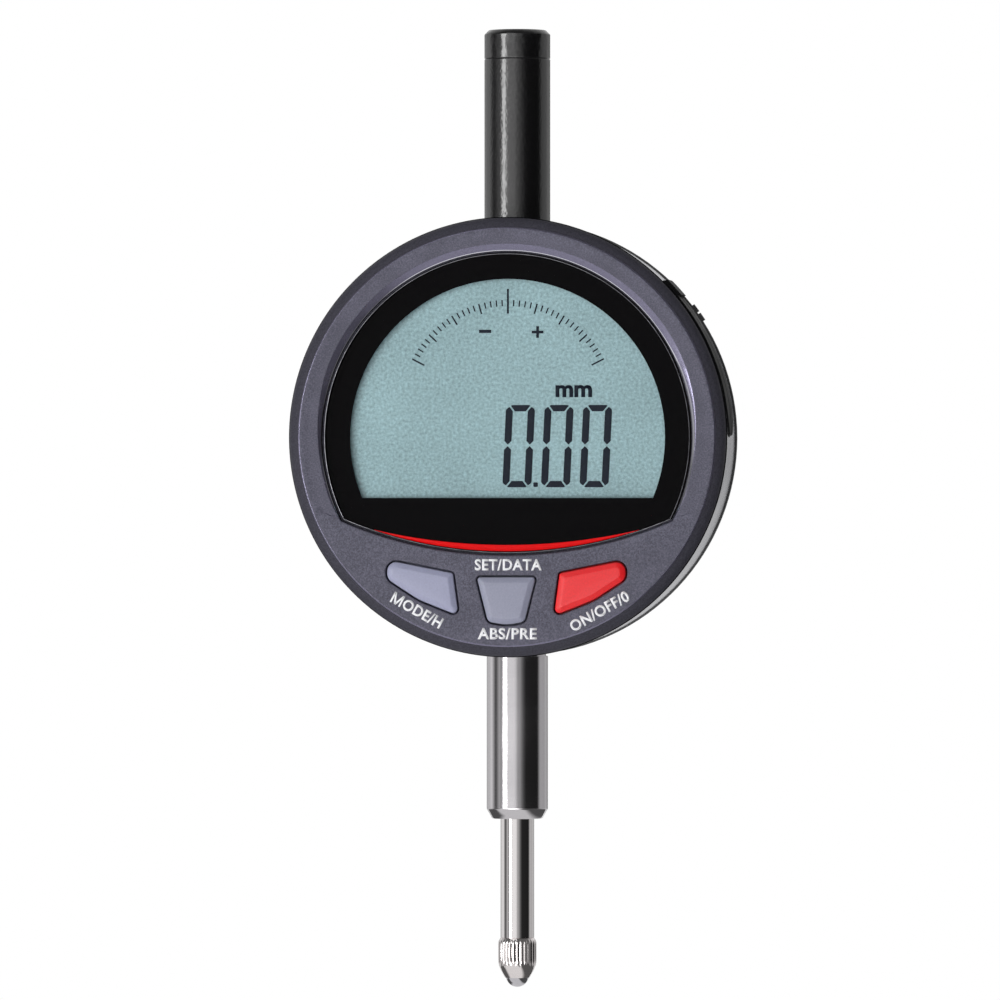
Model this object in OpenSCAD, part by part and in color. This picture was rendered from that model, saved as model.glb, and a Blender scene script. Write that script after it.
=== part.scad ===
// Digital dial indicator, 57 mm head, 8 mm stem, 12.7 mm travel.
// Millimetres, +Z up along the stem and spindle, the display faces -Y.
// The origin is on the stem axis, half way down the 20 mm clamping length.

/* [Stem and spindle] */
// Clamping diameter of the stem
stem_diameter = 8; // [7.8:0.1:8.2]
// Clamping length of the stem below the case
stem_length = 20; // [18:0.5:22]
// Diameter of the measuring spindle
spindle_diameter = 4.4; // [4.2:0.1:4.6]
// Measuring travel of the spindle
travel = 12.7; // [10:0.1:12.7]
// Spindle showing below the stem at rest
spindle_showing = 15.64; // [13.5:0.1:17]
// Radial running clearance of the spindle in its bushings
spindle_clearance = 0.03; // [0.02:0.01:0.06]

/* [Contact point] */
// Diameter over the knurl of the contact point
knurl_diameter = 5; // [4.8:0.1:5.4]
// Ball diameter of the contact point
ball_diameter = 3; // [2.6:0.1:3.2]
// Number of grooves in the knurl
knurl_grooves = 28; // [20:2:32]

/* [Head] */
// Diameter of the front cover
cover_diameter = 56.5; // [56.5:0.1:57.5]
// Diameter of the case behind the front cover
case_diameter = 56.4; // [56.2:0.1:56.8]
// Wall thickness of the case
case_wall = 1.6; // [1.5:0.1:1.7]
// Distance from the stem axis forward to the front face
front_depth = 14.5; // [14.5:0.1:15]
// Distance from the stem axis back to the rear edge of the case
rear_depth = 4.6; // [4.6:0.1:5.2]

/* [Display] */
// Diameter of the window lens
lens_diameter = 47.8; // [47.4:0.1:47.8]
// Radius of the visible liquid crystal area
view_radius = 20.47; // [19.5:0.1:20.6]
// Lower edge of the visible area, below the head centre
view_bottom = 7.87; // [7:0.1:8]

/* [Buttons] */
// How far the button faces stand in front of the cover
button_rise = 0.5; // [0.3:0.1:0.8]
// How far a button can be pressed
button_travel = 0.35; // [0.2:0.05:0.35]
// Gap between a button and the edge of its opening
button_gap = 0.2; // [0.15:0.05:0.3]

/* [Upper tube] */
// Outside diameter of the upper tube and its cap
tube_diameter = 8.6; // [8.2:0.1:8.8]
// Height of the cap above its seam
cap_height = 3.8; // [3:0.1:5]

/* [Battery drawer] */
// Direction in which the drawer slides out, above the horizontal
drawer_angle = 23; // [22:0.5:24]
// Width of the drawer front
drawer_width = 21.8; // [21.6:0.1:21.8]
// Diameter of the coin cell
cell_diameter = 20; // [19.6:0.1:20]
// Thickness of the coin cell
cell_thickness = 3.2; // [2.5:0.1:3.2]

/* [Node] */
// Sub-part to build, or all

/* [Hidden] */
$fn = 96;
eps = 0.01;

stem_r = stem_diameter / 2;
spindle_r = spindle_diameter / 2;
bush_bore_r = spindle_r + spindle_clearance;
bush_r = 2.8;
neck_r = 3.5;
knurl_r = knurl_diameter / 2;
ball_r = ball_diameter / 2;
tube_r = tube_diameter / 2;
cover_r = cover_diameter / 2;
case_r = case_diameter / 2;
case_inner_r = case_r - case_wall;
lens_r = lens_diameter / 2;

// Heights on the stem axis
stem_bottom = -stem_length / 2;
stem_chamfer = 1.26;
stem_end = stem_bottom - stem_chamfer;
stem_shoulder = stem_length / 2 + 0.8;
stem_relief = 0.25;
head_z = stem_length / 2 + 28.5;
contact_top = stem_end - spindle_showing;
neck_length = 5.7;
stem_top = stem_shoulder + neck_length;
tube_shoulder = head_z + 27.7;
tube_bottom = tube_shoulder - 5.7;
tube_top = head_z + 49.5;
cap_plug = 2.4;
spindle_top = tube_top - cap_plug - travel - 0.9;
boss_r = 5.5;
boss_height = 3.2;
nut_height = 2.5;
nut_flats = 8.6;

// Depths measured forward from the stem axis
rim_back = front_depth - 1.9;
pocket_floor = front_depth - 1.5;
ledge_back = front_depth - 2.5;
apron_back = front_depth - 2.0;
spigot_back = front_depth - 3.3;
mask_thickness = 0.2;
lens_thickness = 0.9;
board_front = front_depth - 4.9;
board_back = board_front - 1.0;
lcd_front = front_depth - 2.2;
glass = 0.7;

// Window outline
window_gap = 0.3;
window_arc = 54.2;
window_bottom = 15.3;
opening_r = 22.9;
opening_bottom = 11.6;
accent_top = 13.94;
accent_bottom = 14.76;
accent_top_arc = 76.5;
accent_bottom_arc = 55.6;
accent_half = 17.2;

// Screws: angle round the head, seen from the front
cover_screw_angles = [62, 118, 205, 335];
cover_screw_circle = 25.2;
cover_screw_r = 1.0;
board_screw_angles = [90, 172, 345];
board_screw_circle = 24.3;
board_screw_r = 0.6;

// Button openings, seen from the front, about the head centre
side_button = [[-15.69, -15.65], [-6.75, -17.42], [-5.95, -23.4], [-11.5, -21.2], [-15.69, -18.45]];
side_radii = [1.4, 0.6, 0.8, 9, 1.5];
middle_button = [[-4.1, -17.9], [4.1, -17.9], [2.55, -24.05], [0, -24.5], [-2.55, -24.05]];
middle_radii = [0.6, 0.6, 1.1, 6, 1.1];
side_switch = [10.9, -19.2];
middle_switch = [0, -20.9];
plunger_r = 0.75;
plunger_rise = 0.35;
switch_height = 1.0;
flange_thickness = 0.5;
flange_front = apron_back - 0.1;
flange_extra = 0.5;

// Drawer, in its own radial frame
tray_reach = 16.4;
tray_front = 7.95;
tray_back = 4.2;
door_front = 10.25;
door_back = 1.75;
band_rise = 0.15;
rear_rise = 0.25;
cell_r = cell_diameter / 2;

// Measuring carriage
carrier_bottom = stem_top + 4.5;
carrier_top = carrier_bottom + 14;
carrier_half = 3.6;
plate_top = carrier_bottom + 26.5;
scale_back = 7.6;
scale_thickness = 0.8;
rod_x = -8.2;
rod_y = 1;
rod_r = 1.0;
rod_bottom = head_z - 25;
rod_top = head_z + 25;
spring_coils = 11;
spring_wire_r = 0.25;
spring_r = 2.9;
spring_wrap = 50;

// ---------- outlines and frames ----------

// Head frame: x right and y up as seen from the front, z forward from the stem axis.
module in_head() {
  translate([0, 0, head_z])
    rotate([90, 0, 0])
      children();
}

// Drawer frame: x outward along the slide, y across it, z forward.
module in_drawer() {
  in_head()
    rotate([0, 0, drawer_angle])
      children();
}

module slab(low, high) {
  translate([0, 0, low])
    linear_extrude(height = high - low)
      children();
}

module disc(radius, low, high) {
  translate([0, 0, low])
    cylinder(r = radius, h = high - low);
}

module block(low, high) {
  translate(low)
    cube(high - low);
}

module at_polar(angle, radius) {
  rotate([0, 0, angle])
    translate([radius, 0, 0])
      children();
}

function unit(v) = v / norm(v);

function turn(a) = a > 180 ? a - 360 : a < -180 ? a + 360 : a;

// Arc that rounds corner p between neighbours a and b.
function corner(p, a, b, r, steps) =
  let (
    u = unit(a - p),
    v = unit(b - p),
    half = acos(u * v) / 2,
    c = p + unit(u + v) * r / sin(half),
    s = p + u * r / tan(half) - c,
    e = p + v * r / tan(half) - c,
    from = atan2(s[1], s[0]),
    sweep = turn(atan2(e[1], e[0]) - from)
  )
  [for (i = [0:steps]) c + r * [cos(from + sweep * i / steps), sin(from + sweep * i / steps)]];

function rounded(points, radii, steps = 6) =
  let (n = len(points))
  [
    for (i = [0:n - 1])
      each corner(points[i], points[(i + n - 1) % n], points[(i + 1) % n], radii[i], steps)
  ];

// Convex outline moved inward by gap.
function inset(points, gap) =
  let (n = len(points))
  [
    for (i = [0:n - 1])
      let (
        u = unit(points[(i + n - 1) % n] - points[i]),
        v = unit(points[(i + 1) % n] - points[i])
      )
      points[i] + unit(u + v) * gap / sin(acos(u * v) / 2)
  ];

module button_outline(points, radii, gap) {
  polygon(rounded(inset(points, gap), [for (r = radii) max(r - gap, 0.2)]));
}

module left_side() {
  children();
}

module right_side() {
  mirror([1, 0, 0])
    children();
}

// Window shape bounded by a circle above and a shallow arc below.
module window_outline(radius, bottom) {
  intersection() {
    circle(r = radius);
    translate([0, window_arc - bottom])
      circle(r = window_arc);
  }
}

// Circle cut straight across below the centre.
module cut_circle(radius, bottom) {
  intersection() {
    circle(r = radius);
    translate([-radius - 1, -bottom])
      square([2 * radius + 2, bottom + radius + 1]);
  }
}

// Crescent between two shallow arcs, with its tips blunted.
module accent_outline() {
  intersection() {
    difference() {
      translate([0, accent_bottom_arc - accent_bottom])
        circle(r = accent_bottom_arc, $fn = 720);
      translate([0, accent_top_arc - accent_top])
        circle(r = accent_top_arc, $fn = 720);
    }
    translate([-accent_half, -20])
      square([2 * accent_half, 20]);
  }
}

// ---------- front cover and display ----------

module cover_bosses() {
  intersection() {
    disc(case_inner_r - 0.15, board_front - 1, front_depth);
    union() {
      for (a = cover_screw_angles)
        at_polar(a, cover_screw_circle)
          disc(1.9, board_front - 0.1, apron_back + 0.1);
      for (a = board_screw_angles)
        at_polar(a, board_screw_circle)
          disc(1.4, board_front, apron_back + 0.1);
    }
  }
}

module cover_shell() {
  rotate_extrude()
    polygon([
      [0, apron_back],
      [opening_r - 0.4, apron_back],
      [opening_r - 0.4, ledge_back],
      [25.0, ledge_back],
      [25.0, spigot_back],
      [case_inner_r - 0.1, spigot_back],
      [case_inner_r - 0.1, rim_back],
      [cover_r, rim_back],
      [cover_r, front_depth - 1.4],
      [cover_r - 0.1, front_depth - 0.9],
      [cover_r - 0.4, front_depth - 0.4],
      [cover_r - 0.9, front_depth - 0.1],
      [cover_r - 1.5, front_depth],
      [0, front_depth]
    ]);
}

module front_cover() {
  color([0.33, 0.32, 0.36])
    in_head()
      difference() {
        union() {
          cover_shell();
          cover_bosses();
        }
        slab(pocket_floor, front_depth + 1)
          window_outline(lens_r + window_gap, window_bottom);
        intersection() {
          translate([0, 0, front_depth - 0.4])
            cylinder(r1 = lens_r + window_gap, r2 = lens_r + 1.0 + 0.07, h = 0.44);
          slab(front_depth - 1, front_depth + 1)
            translate([0, window_arc - window_bottom])
              circle(r = window_arc);
        }
        slab(ledge_back - 1, front_depth)
          cut_circle(opening_r, opening_bottom);
        slab(apron_back - 1, front_depth + 1) {
          left_side()
            button_outline(side_button, side_radii, 0);
          button_outline(middle_button, middle_radii, 0);
          right_side()
            button_outline(side_button, side_radii, 0);
        }
        intersection() {
          disc(24.9, ledge_back - 1, front_depth);
          slab(ledge_back - 1, apron_back) {
            left_side()
              button_outline(side_button, side_radii, -flange_extra - 0.2);
            button_outline(middle_button, middle_radii, -flange_extra - 0.2);
            right_side()
              button_outline(side_button, side_radii, -flange_extra - 0.2);
          }
        }
        for (a = cover_screw_angles)
          at_polar(a, cover_screw_circle)
            disc(cover_screw_r, board_front - 1, board_front + 2.2);
        for (a = board_screw_angles)
          at_polar(a, board_screw_circle)
            disc(board_screw_r, board_front - 1, board_front + 2.0);
      }
}

module window_lens() {
  lens_back = pocket_floor + mask_thickness;
  lens_face = lens_back + lens_thickness;
  color([0.75, 0.85, 0.9, 0.35])
    in_head()
      difference() {
        slab(lens_back, lens_face)
          window_outline(lens_r, window_bottom - window_gap);
        slab(lens_face - 0.4, lens_face + 1)
          accent_outline();
      }
}

module display_mask() {
  color([0.05, 0.05, 0.06])
    in_head()
      slab(pocket_floor, pocket_floor + mask_thickness)
        difference() {
          window_outline(lens_r, window_bottom - window_gap);
          cut_circle(view_radius, view_bottom);
        }
}

module accent_strip() {
  lens_face = pocket_floor + mask_thickness + lens_thickness;
  color([0.9, 0.08, 0.1])
    in_head()
      slab(lens_face - 0.4, lens_face + 0.05)
        accent_outline();
}

module lcd_panel() {
  color([0.6, 0.71, 0.72])
    in_head() {
      slab(lcd_front - glass, lcd_front)
        cut_circle(21.6, 10.5);
      slab(lcd_front - 2 * glass, lcd_front - glass)
        cut_circle(21.6, 8.3);
    }
}

module lcd_frame() {
  color([0.85, 0.85, 0.83])
    in_head()
      difference() {
        slab(board_front, pocket_floor - 0.1)
          cut_circle(22.6, 11.5);
        slab(lcd_front - 2 * glass, front_depth)
          cut_circle(21.65, 10.55);
        slab(board_front - 1, front_depth)
          cut_circle(20.7, 8.2);
        block([-18.1, -10.4, board_front - 1], [18.1, -8.1, front_depth]);
      }
}

module zebra_strip() {
  color([0.75, 0.4, 0.55])
    in_head()
      block([-18, -10.3, board_front], [18, -8.5, lcd_front - glass]);
}

// ---------- electronics ----------

module main_board() {
  color([0.1, 0.4, 0.2])
    in_head()
      difference() {
        disc(case_inner_r - 0.8, board_back, board_front);
        for (a = cover_screw_angles)
          at_polar(a, cover_screw_circle)
            disc(2.3, board_back - 1, board_front + 1);
        for (a = board_screw_angles)
          at_polar(a, board_screw_circle)
            disc(board_screw_r + 0.1, board_back - 1, board_front + 1);
      }
}

module asic_chip() {
  color([0.08, 0.08, 0.09])
    in_head()
      translate([-15, 5, board_back])
        rotate([180, 0, 0])
          rotate_extrude()
            polygon([[0, 0], [4.2, 0], [3.9, 0.5], [2.8, 0.95], [0, 1.2]]);
}

// Chip resistors and capacitors in two rows, with the clock crystal beside them.
module board_components() {
  color([0.55, 0.5, 0.42])
    in_head() {
      for (row = [0:1], i = [0:3])
        translate([-19.5 + 3 * i, -6 - 3 * row, board_back - 0.6])
          cube([1.6, 0.9, 0.6]);
      translate([-17, -13, board_back - 1.0])
        rotate([0, 90, 0])
          cylinder(r = 1.0, h = 6);
    }
}

module board_screws() {
  color([0.7, 0.7, 0.72])
    in_head()
      for (a = board_screw_angles)
        at_polar(a, board_screw_circle)
          difference() {
            union() {
              disc(board_screw_r, board_back - 0.1, board_front + 1.9);
              disc(1.2, board_back - 0.9, board_back);
            }
            for (turn_by = [0, 90])
              rotate([0, 0, turn_by])
                block([-0.75, -0.15, board_back - 1], [0.75, 0.15, board_back - 0.5]);
          }
}

module at_switches() {
  for (p = [[-side_switch[0], side_switch[1]], middle_switch, side_switch])
    translate([p[0], p[1], board_front])
      children();
}

module tact_switches() {
  color([0.15, 0.15, 0.16])
    in_head()
      at_switches()
        difference() {
          block([-2.2, -1.6, 0], [2.2, 1.6, switch_height]);
          disc(plunger_r + 0.06, 0.25, switch_height + 1);
        }
}

module plunger(p) {
  color([0.85, 0.85, 0.82])
    in_head()
      translate([p[0], p[1], board_front])
        disc(plunger_r, 0.68, switch_height + plunger_rise);
}

module mode_plunger() {
  plunger([-side_switch[0], side_switch[1]]);
}

module set_plunger() {
  plunger(middle_switch);
}

module power_plunger() {
  plunger(side_switch);
}

// Button cap with a bevelled face, a retaining flange behind the cover and a stalk to the switch.
module button_body(points, radii, stalk) {
  face = front_depth + button_rise;
  bevel = 0.35;
  hull() {
    slab(flange_front - eps, face - bevel)
      button_outline(points, radii, button_gap);
    slab(face - bevel, face)
      button_outline(points, radii, button_gap + bevel);
  }
  intersection() {
    slab(flange_front - flange_thickness, flange_front)
      button_outline(points, radii, -flange_extra);
    disc(24.7, 0, front_depth);
  }
  translate([stalk[0], stalk[1], 0])
    disc(1.4, board_front + switch_height + plunger_rise, flange_front);
}

module mode_button() {
  color([0.6, 0.6, 0.7])
    in_head()
      button_body(side_button, side_radii, [-side_switch[0], side_switch[1]]);
}

module set_button() {
  color([0.5, 0.5, 0.53])
    in_head()
      button_body(middle_button, middle_radii, middle_switch);
}

module power_button() {
  color([0.9, 0.2, 0.2])
    in_head()
      right_side()
        button_body(side_button, side_radii, [-side_switch[0], side_switch[1]]);
}

// ---------- case ----------

// Outline of the drawer front across the slide and along the depth.
module door_outline(gap) {
  half = drawer_width / 2 + gap;
  low = door_back - gap;
  high = door_front + gap;
  polygon(rounded(
    [[-half, low], [half, low], [half, high], [-half, high]],
    [3.5, 0.8, 0.8, 3.5]
  ));
}

// Prism of the drawer front outline, running outward along the slide.
module door_prism(gap, from, to) {
  in_drawer()
    rotate([90, 0, 90])
      slab(from, to)
        door_outline(gap);
}

module case_body() {
  color([0.72, 0.72, 0.74])
    difference() {
      union() {
        in_head() {
          difference() {
            union() {
              disc(case_r, -rear_depth, rim_back);
              disc(case_r + band_rise, door_front + 0.25, rim_back);
            }
            disc(case_inner_r, -rear_depth - 1, rim_back + 1);
          }
          for (a = cover_screw_angles)
            at_polar(a, cover_screw_circle)
              disc(2.0, -rear_depth + 0.5, board_front - 0.1);
        }
        intersection() {
          in_head()
            disc(case_r - 0.1, -rear_depth, rim_back);
          union() {
            translate([0, 0, head_z - case_r])
              cylinder(r = boss_r, h = boss_height);
            translate([0, 0, head_z + case_r - boss_height])
              cylinder(r = boss_r, h = boss_height);
            for (z = [head_z - case_r, rod_top - 2.5])
              translate([rod_x, rod_y, z])
                cylinder(r = 2.1, h = rod_bottom + 2.5 - head_z + case_r);
          }
        }
      }
      translate([0, 0, stem_bottom])
        cylinder(r = neck_r, h = 100);
      translate([0, 0, stem_bottom])
        cylinder(r = stem_r - stem_relief, h = stem_shoulder - stem_bottom);
      translate([0, 0, tube_shoulder])
        cylinder(r = tube_r, h = 20);
      translate([rod_x, rod_y, rod_bottom])
        cylinder(r = rod_r, h = rod_top - rod_bottom);
      in_head() {
        for (a = cover_screw_angles)
          at_polar(a, cover_screw_circle)
            disc(cover_screw_r + 0.05, -rear_depth - 1, board_front);
        difference() {
          disc(27.6, -rear_depth - 1, -rear_depth + 0.3);
          disc(26.8, -rear_depth - 2, -rear_depth + 1);
        }
      }
      door_prism(0.1, 20, 40);
    }
}

module back_cover() {
  chamfer = 0.7;
  thickness = 1.4;
  color([0.08, 0.08, 0.09])
    in_head()
      difference() {
        union() {
          rotate_extrude()
            polygon([
              [0, -rear_depth],
              [case_r + rear_rise, -rear_depth],
              [case_r + rear_rise, -rear_depth - thickness + chamfer],
              [case_r + rear_rise - chamfer, -rear_depth - thickness],
              [0, -rear_depth - thickness]
            ]);
          for (a = [33.7, 36.45])
            rotate([0, 0, a])
              block([27, -0.55, -rear_depth - 1.1], [28.75, 0.55, -rear_depth - 0.1]);
        }
        for (a = cover_screw_angles)
          at_polar(a, cover_screw_circle) {
            disc(cover_screw_r + 0.05, -rear_depth - 2, -rear_depth + 1);
            translate([0, 0, -rear_depth - thickness - eps])
              cylinder(r1 = 2.0 + eps, r2 = cover_screw_r, h = 1.0 + eps);
          }
      }
}

module back_gasket() {
  color([0.1, 0.1, 0.1])
    in_head()
      difference() {
        disc(27.6, -rear_depth, -rear_depth + 0.3);
        disc(26.8, -rear_depth - 1, -rear_depth + 1);
      }
}

// Long countersunk screws from the back cover through the case into the front cover.
module cover_screws() {
  back_face = -rear_depth - 1.4;
  color([0.6, 0.6, 0.62])
    in_head()
      for (a = cover_screw_angles)
        at_polar(a, cover_screw_circle)
          difference() {
            union() {
              translate([0, 0, back_face])
                cylinder(r1 = 2.0, r2 = cover_screw_r, h = 1.0);
              disc(cover_screw_r, back_face + 0.9, board_front + 2.1);
            }
            for (turn_by = [0, 90])
              rotate([0, 0, turn_by])
                block([-1.1, -0.2, back_face - 1], [1.1, 0.2, back_face + 0.6]);
          }
}

// ---------- battery ----------

module tray_outline(radius) {
  translate([tray_reach, 0])
    circle(r = radius);
  translate([tray_reach, -radius])
    square([case_inner_r - 0.2 - tray_reach, 2 * radius]);
}

// Seat of the coin cell, open to the front.
module cell_seat() {
  in_drawer()
    translate([tray_reach, 0, 0])
      disc(cell_r + 0.05, tray_front + 0.05 - cell_thickness, tray_front + 0.1);
}

module battery_drawer() {
  half = drawer_width / 2;
  door_rise = 0.35;
  grip_rise = 0.75;
  color([0.09, 0.09, 0.1]) {
    difference() {
      intersection() {
        door_prism(0, case_inner_r - 0.5, 40);
        in_head()
          disc(case_r + door_rise, 0, front_depth);
      }
      cell_seat();
      in_head()
        difference() {
          disc(case_r + 1, 5.75, 6.25);
          disc(case_r - 0.3, 5, 7);
        }
    }
    intersection() {
      in_drawer()
        block([case_inner_r - 2, half - 2.6, 2.2], [40, half - 0.1, 9.8]);
      in_head()
        disc(case_r + grip_rise, 0, front_depth);
    }
    difference() {
      in_drawer()
        difference() {
          slab(tray_back, tray_front)
            tray_outline(half - 0.2);
          translate([tray_reach, 0, 0])
            disc(8, 0, front_depth);
          block([0, -2.2, 0], [tray_reach, 2.2, tray_front + 0.05 - cell_thickness]);
        }
      cell_seat();
    }
  }
}

module coin_cell() {
  front = tray_front + 0.05;
  color([0.8, 0.8, 0.82])
    in_drawer()
      translate([tray_reach, 0, 0])
        rotate_extrude()
          polygon([
            [0, front],
            [8.2, front],
            [8.6, front - 0.3],
            [cell_r - 0.3, front - 0.5],
            [cell_r, front - 0.8],
            [cell_r, front - cell_thickness + 0.2],
            [cell_r - 0.2, front - cell_thickness],
            [0, front - cell_thickness]
          ]);
}

// Insulating channel that guides the drawer behind the board.
module battery_bay() {
  rail_in = drawer_width / 2 + 0.1;
  rail_out = rail_in + 1.2;
  color([0.2, 0.2, 0.22])
    intersection() {
      in_drawer()
        difference() {
          union() {
            block([8, rail_in, tray_back - 1.1], [22, rail_out, board_back]);
            block([8, -rail_out, tray_back - 1.1], [22, -rail_in, board_back]);
            block([4, -rail_out, tray_back - 1.1], [22, rail_out, tray_back - 0.3]);
          }
          translate([tray_reach, 0, 0])
            disc(5, 0, tray_back);
        }
      in_head()
        block([4.6, -30, 0], [30, 30, front_depth]);
    }
}

module cell_contact_minus() {
  front = tray_front + 0.05;
  color([0.8, 0.7, 0.4])
    in_drawer() {
      block([12, -1.5, board_back - 0.15], [20, 1.5, board_back]);
      block([15, -1.5, front + 0.05], [17, 1.5, board_back - 0.1]);
    }
}

module cell_contact_plus() {
  back = tray_front + 0.05 - cell_thickness;
  color([0.8, 0.7, 0.4])
    in_drawer() {
      block([9, -1.5, tray_back - 0.3], [14, 1.5, tray_back - 0.15]);
      block([12.5, -1.5, tray_back - 0.25], [14, 1.5, back - 0.05]);
    }
}

// ---------- stem, tube and bushings ----------

module stem() {
  color([0.85, 0.85, 0.87])
    rotate_extrude()
      polygon([
        [bush_r, stem_end],
        [stem_r - 0.7, stem_end],
        [stem_r, stem_bottom],
        [stem_r, stem_length / 2],
        [stem_r - stem_relief, stem_length / 2],
        [stem_r - stem_relief, stem_shoulder],
        [neck_r, stem_shoulder],
        [neck_r, stem_top],
        [bush_r, stem_top]
      ]);
}

module bushing(low, length) {
  color([0.75, 0.55, 0.3])
    rotate_extrude()
      polygon([
        [bush_bore_r + 0.2, low],
        [bush_r, low],
        [bush_r, low + length],
        [bush_bore_r + 0.2, low + length],
        [bush_bore_r, low + length - 0.2],
        [bush_bore_r, low + 0.2]
      ]);
}

module stem_bushing_lower() {
  bushing(stem_end + 0.3, 7);
}

module stem_bushing_upper() {
  bushing(stem_top - 7, 7);
}

module tube_bushing() {
  bushing(tube_bottom, 6);
}

module nut(low) {
  translate([0, 0, low])
    difference() {
      cylinder(r = nut_flats / 2 / cos(30), h = nut_height, $fn = 6);
      translate([0, 0, -1])
        cylinder(r = neck_r, h = nut_height + 2);
    }
}

module lock_nuts() {
  color([0.75, 0.75, 0.76]) {
    nut(head_z - case_r + boss_height);
    nut(head_z + case_r - boss_height - nut_height);
  }
}

module spindle_tube() {
  seam = 0.12;
  color([0.06, 0.06, 0.07])
    rotate_extrude()
      polygon([
        [bush_r, tube_bottom],
        [neck_r, tube_bottom],
        [neck_r, tube_shoulder],
        [tube_r, tube_shoulder],
        [tube_r, tube_top - seam],
        [tube_r - seam, tube_top],
        [bush_r, tube_top]
      ]);
}

module tube_cap() {
  edge = 0.6;
  seam = 0.12;
  color([0.07, 0.07, 0.08])
    rotate_extrude()
      polygon([
        [0, tube_top - cap_plug],
        [bush_r, tube_top - cap_plug],
        [bush_r, tube_top],
        [tube_r - seam, tube_top],
        [tube_r, tube_top + seam],
        [tube_r, tube_top + cap_height - edge],
        [tube_r - edge, tube_top + cap_height],
        [0, tube_top + cap_height]
      ]);
}

// ---------- measuring spindle ----------

thread_r = 1.25;
thread_length = 5;

module spindle() {
  edge = 0.3;
  color([0.88, 0.87, 0.87])
    rotate_extrude()
      polygon([
        [0, contact_top + thread_length + 0.6],
        [thread_r, contact_top + thread_length],
        [thread_r, contact_top],
        [spindle_r, contact_top],
        [spindle_r, spindle_top - edge],
        [spindle_r - edge, spindle_top],
        [0, spindle_top]
      ]);
}

knurl_top = contact_top - 0.5;
knurl_bottom = contact_top - 3.3;
ball_z = contact_top - 4.9;

module knurl_band(low, high) {
  step = 360 / knurl_grooves;
  root = knurl_r - 0.14;
  translate([0, 0, low])
    linear_extrude(height = high - low)
      polygon([
        for (i = [0:knurl_grooves - 1], k = [0:3])
          (k == 0 || k == 3 ? root : knurl_r)
            * [cos(step * (i + 0.2 + 0.2 * k)), sin(step * (i + 0.2 + 0.2 * k))]
      ]);
}

module contact_point() {
  color([0.85, 0.84, 0.82])
    difference() {
      union() {
        translate([0, 0, contact_top - 0.2])
          cylinder(r = thread_r, h = thread_length);
        rotate_extrude()
          polygon([
            [0, ball_z - 0.3],
            [ball_r + 0.06, ball_z - 0.3],
            [ball_r + 0.42, ball_z + 0.5],
            [ball_r + 0.72, ball_z + 1.2],
            [knurl_r - 0.16, knurl_bottom],
            [knurl_r - 0.16, knurl_top],
            [spindle_r, contact_top],
            [0, contact_top]
          ]);
        knurl_band(knurl_bottom, knurl_top);
      }
      translate([0, 0, ball_z])
        sphere(r = ball_r);
    }
}

module contact_ball() {
  color([0.7, 0.7, 0.72])
    translate([0, 0, ball_z])
      sphere(r = ball_r);
}

// Block clamped on the spindle, with the plate for the scale and the arm that runs on the guide rod.
module scale_carrier() {
  color([0.3, 0.3, 0.33])
    difference() {
      union() {
        block([-carrier_half, -scale_back + 1.1, carrier_bottom], [carrier_half, 3.4, carrier_top]);
        block([-carrier_half, -scale_back, carrier_bottom + 1], [carrier_half, -scale_back + 1.2, plate_top]);
        block([rod_x - 2.1, -1.2, carrier_bottom + 3], [0, 3.2, carrier_bottom + 12]);
      }
      translate([0, 0, carrier_bottom - 1])
        cylinder(r = spindle_r, h = carrier_top - carrier_bottom + 2);
      translate([rod_x, rod_y, carrier_bottom - 1])
        cylinder(r = rod_r + 0.06, h = carrier_top - carrier_bottom + 2);
      carrier_screw_shape(0, carrier_half + 1);
    }
}

module carrier_screw_shape(from, to) {
  for (z = [carrier_bottom + 4, carrier_bottom + 10])
    translate([from, 0, z])
      rotate([0, 90, 0])
        cylinder(r = 1.0, h = to - from);
}

module carrier_screws() {
  color([0.25, 0.25, 0.26])
    difference() {
      carrier_screw_shape(spindle_r, carrier_half - 0.1);
      for (z = [carrier_bottom + 4, carrier_bottom + 10])
        translate([carrier_half - 0.8, 0, z])
          rotate([0, 90, 0])
            cylinder(r = 0.5, h = 2, $fn = 6);
    }
}

module scale_strip() {
  color([0.15, 0.35, 0.3])
    block(
      [-carrier_half + 0.2, -scale_back - scale_thickness, carrier_bottom + 3],
      [carrier_half - 0.2, -scale_back, plate_top - 0.5]
    );
}

module guide_rod() {
  color([0.8, 0.8, 0.82])
    translate([rod_x, rod_y, rod_bottom])
      cylinder(r = rod_r, h = rod_top - rod_bottom);
}

// Wire section swept as a shallow crescent, so that the coil has a round wire.
module return_spring() {
  low = carrier_top + 0.05;
  height = tube_bottom - 0.05 - low;
  steps = 4;
  color([0.7, 0.7, 0.72])
    translate([0, 0, low])
      linear_extrude(
        height = height,
        twist = -360 * spring_coils,
        slices = 12 * spring_coils,
        segments = 2 * steps
      )
        polygon([
          for (side = [1, -1], i = [0:steps - 1])
            let (
              s = side * (1 - 2 * i / steps),
              r = spring_r + side * spring_wire_r * sqrt(1 - s * s)
            )
            r * [cos(spring_wrap * s), sin(spring_wrap * s)]
        ]);
}

module stop_buffer() {
  color([0.12, 0.12, 0.12])
    rotate_extrude()
      polygon([
        [spindle_r + 0.2, stem_top],
        [3.4, stem_top],
        [3.4, carrier_bottom - 0.05],
        [spindle_r + 0.2, carrier_bottom - 0.05]
      ]);
}

// ---------- selection ----------

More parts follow.
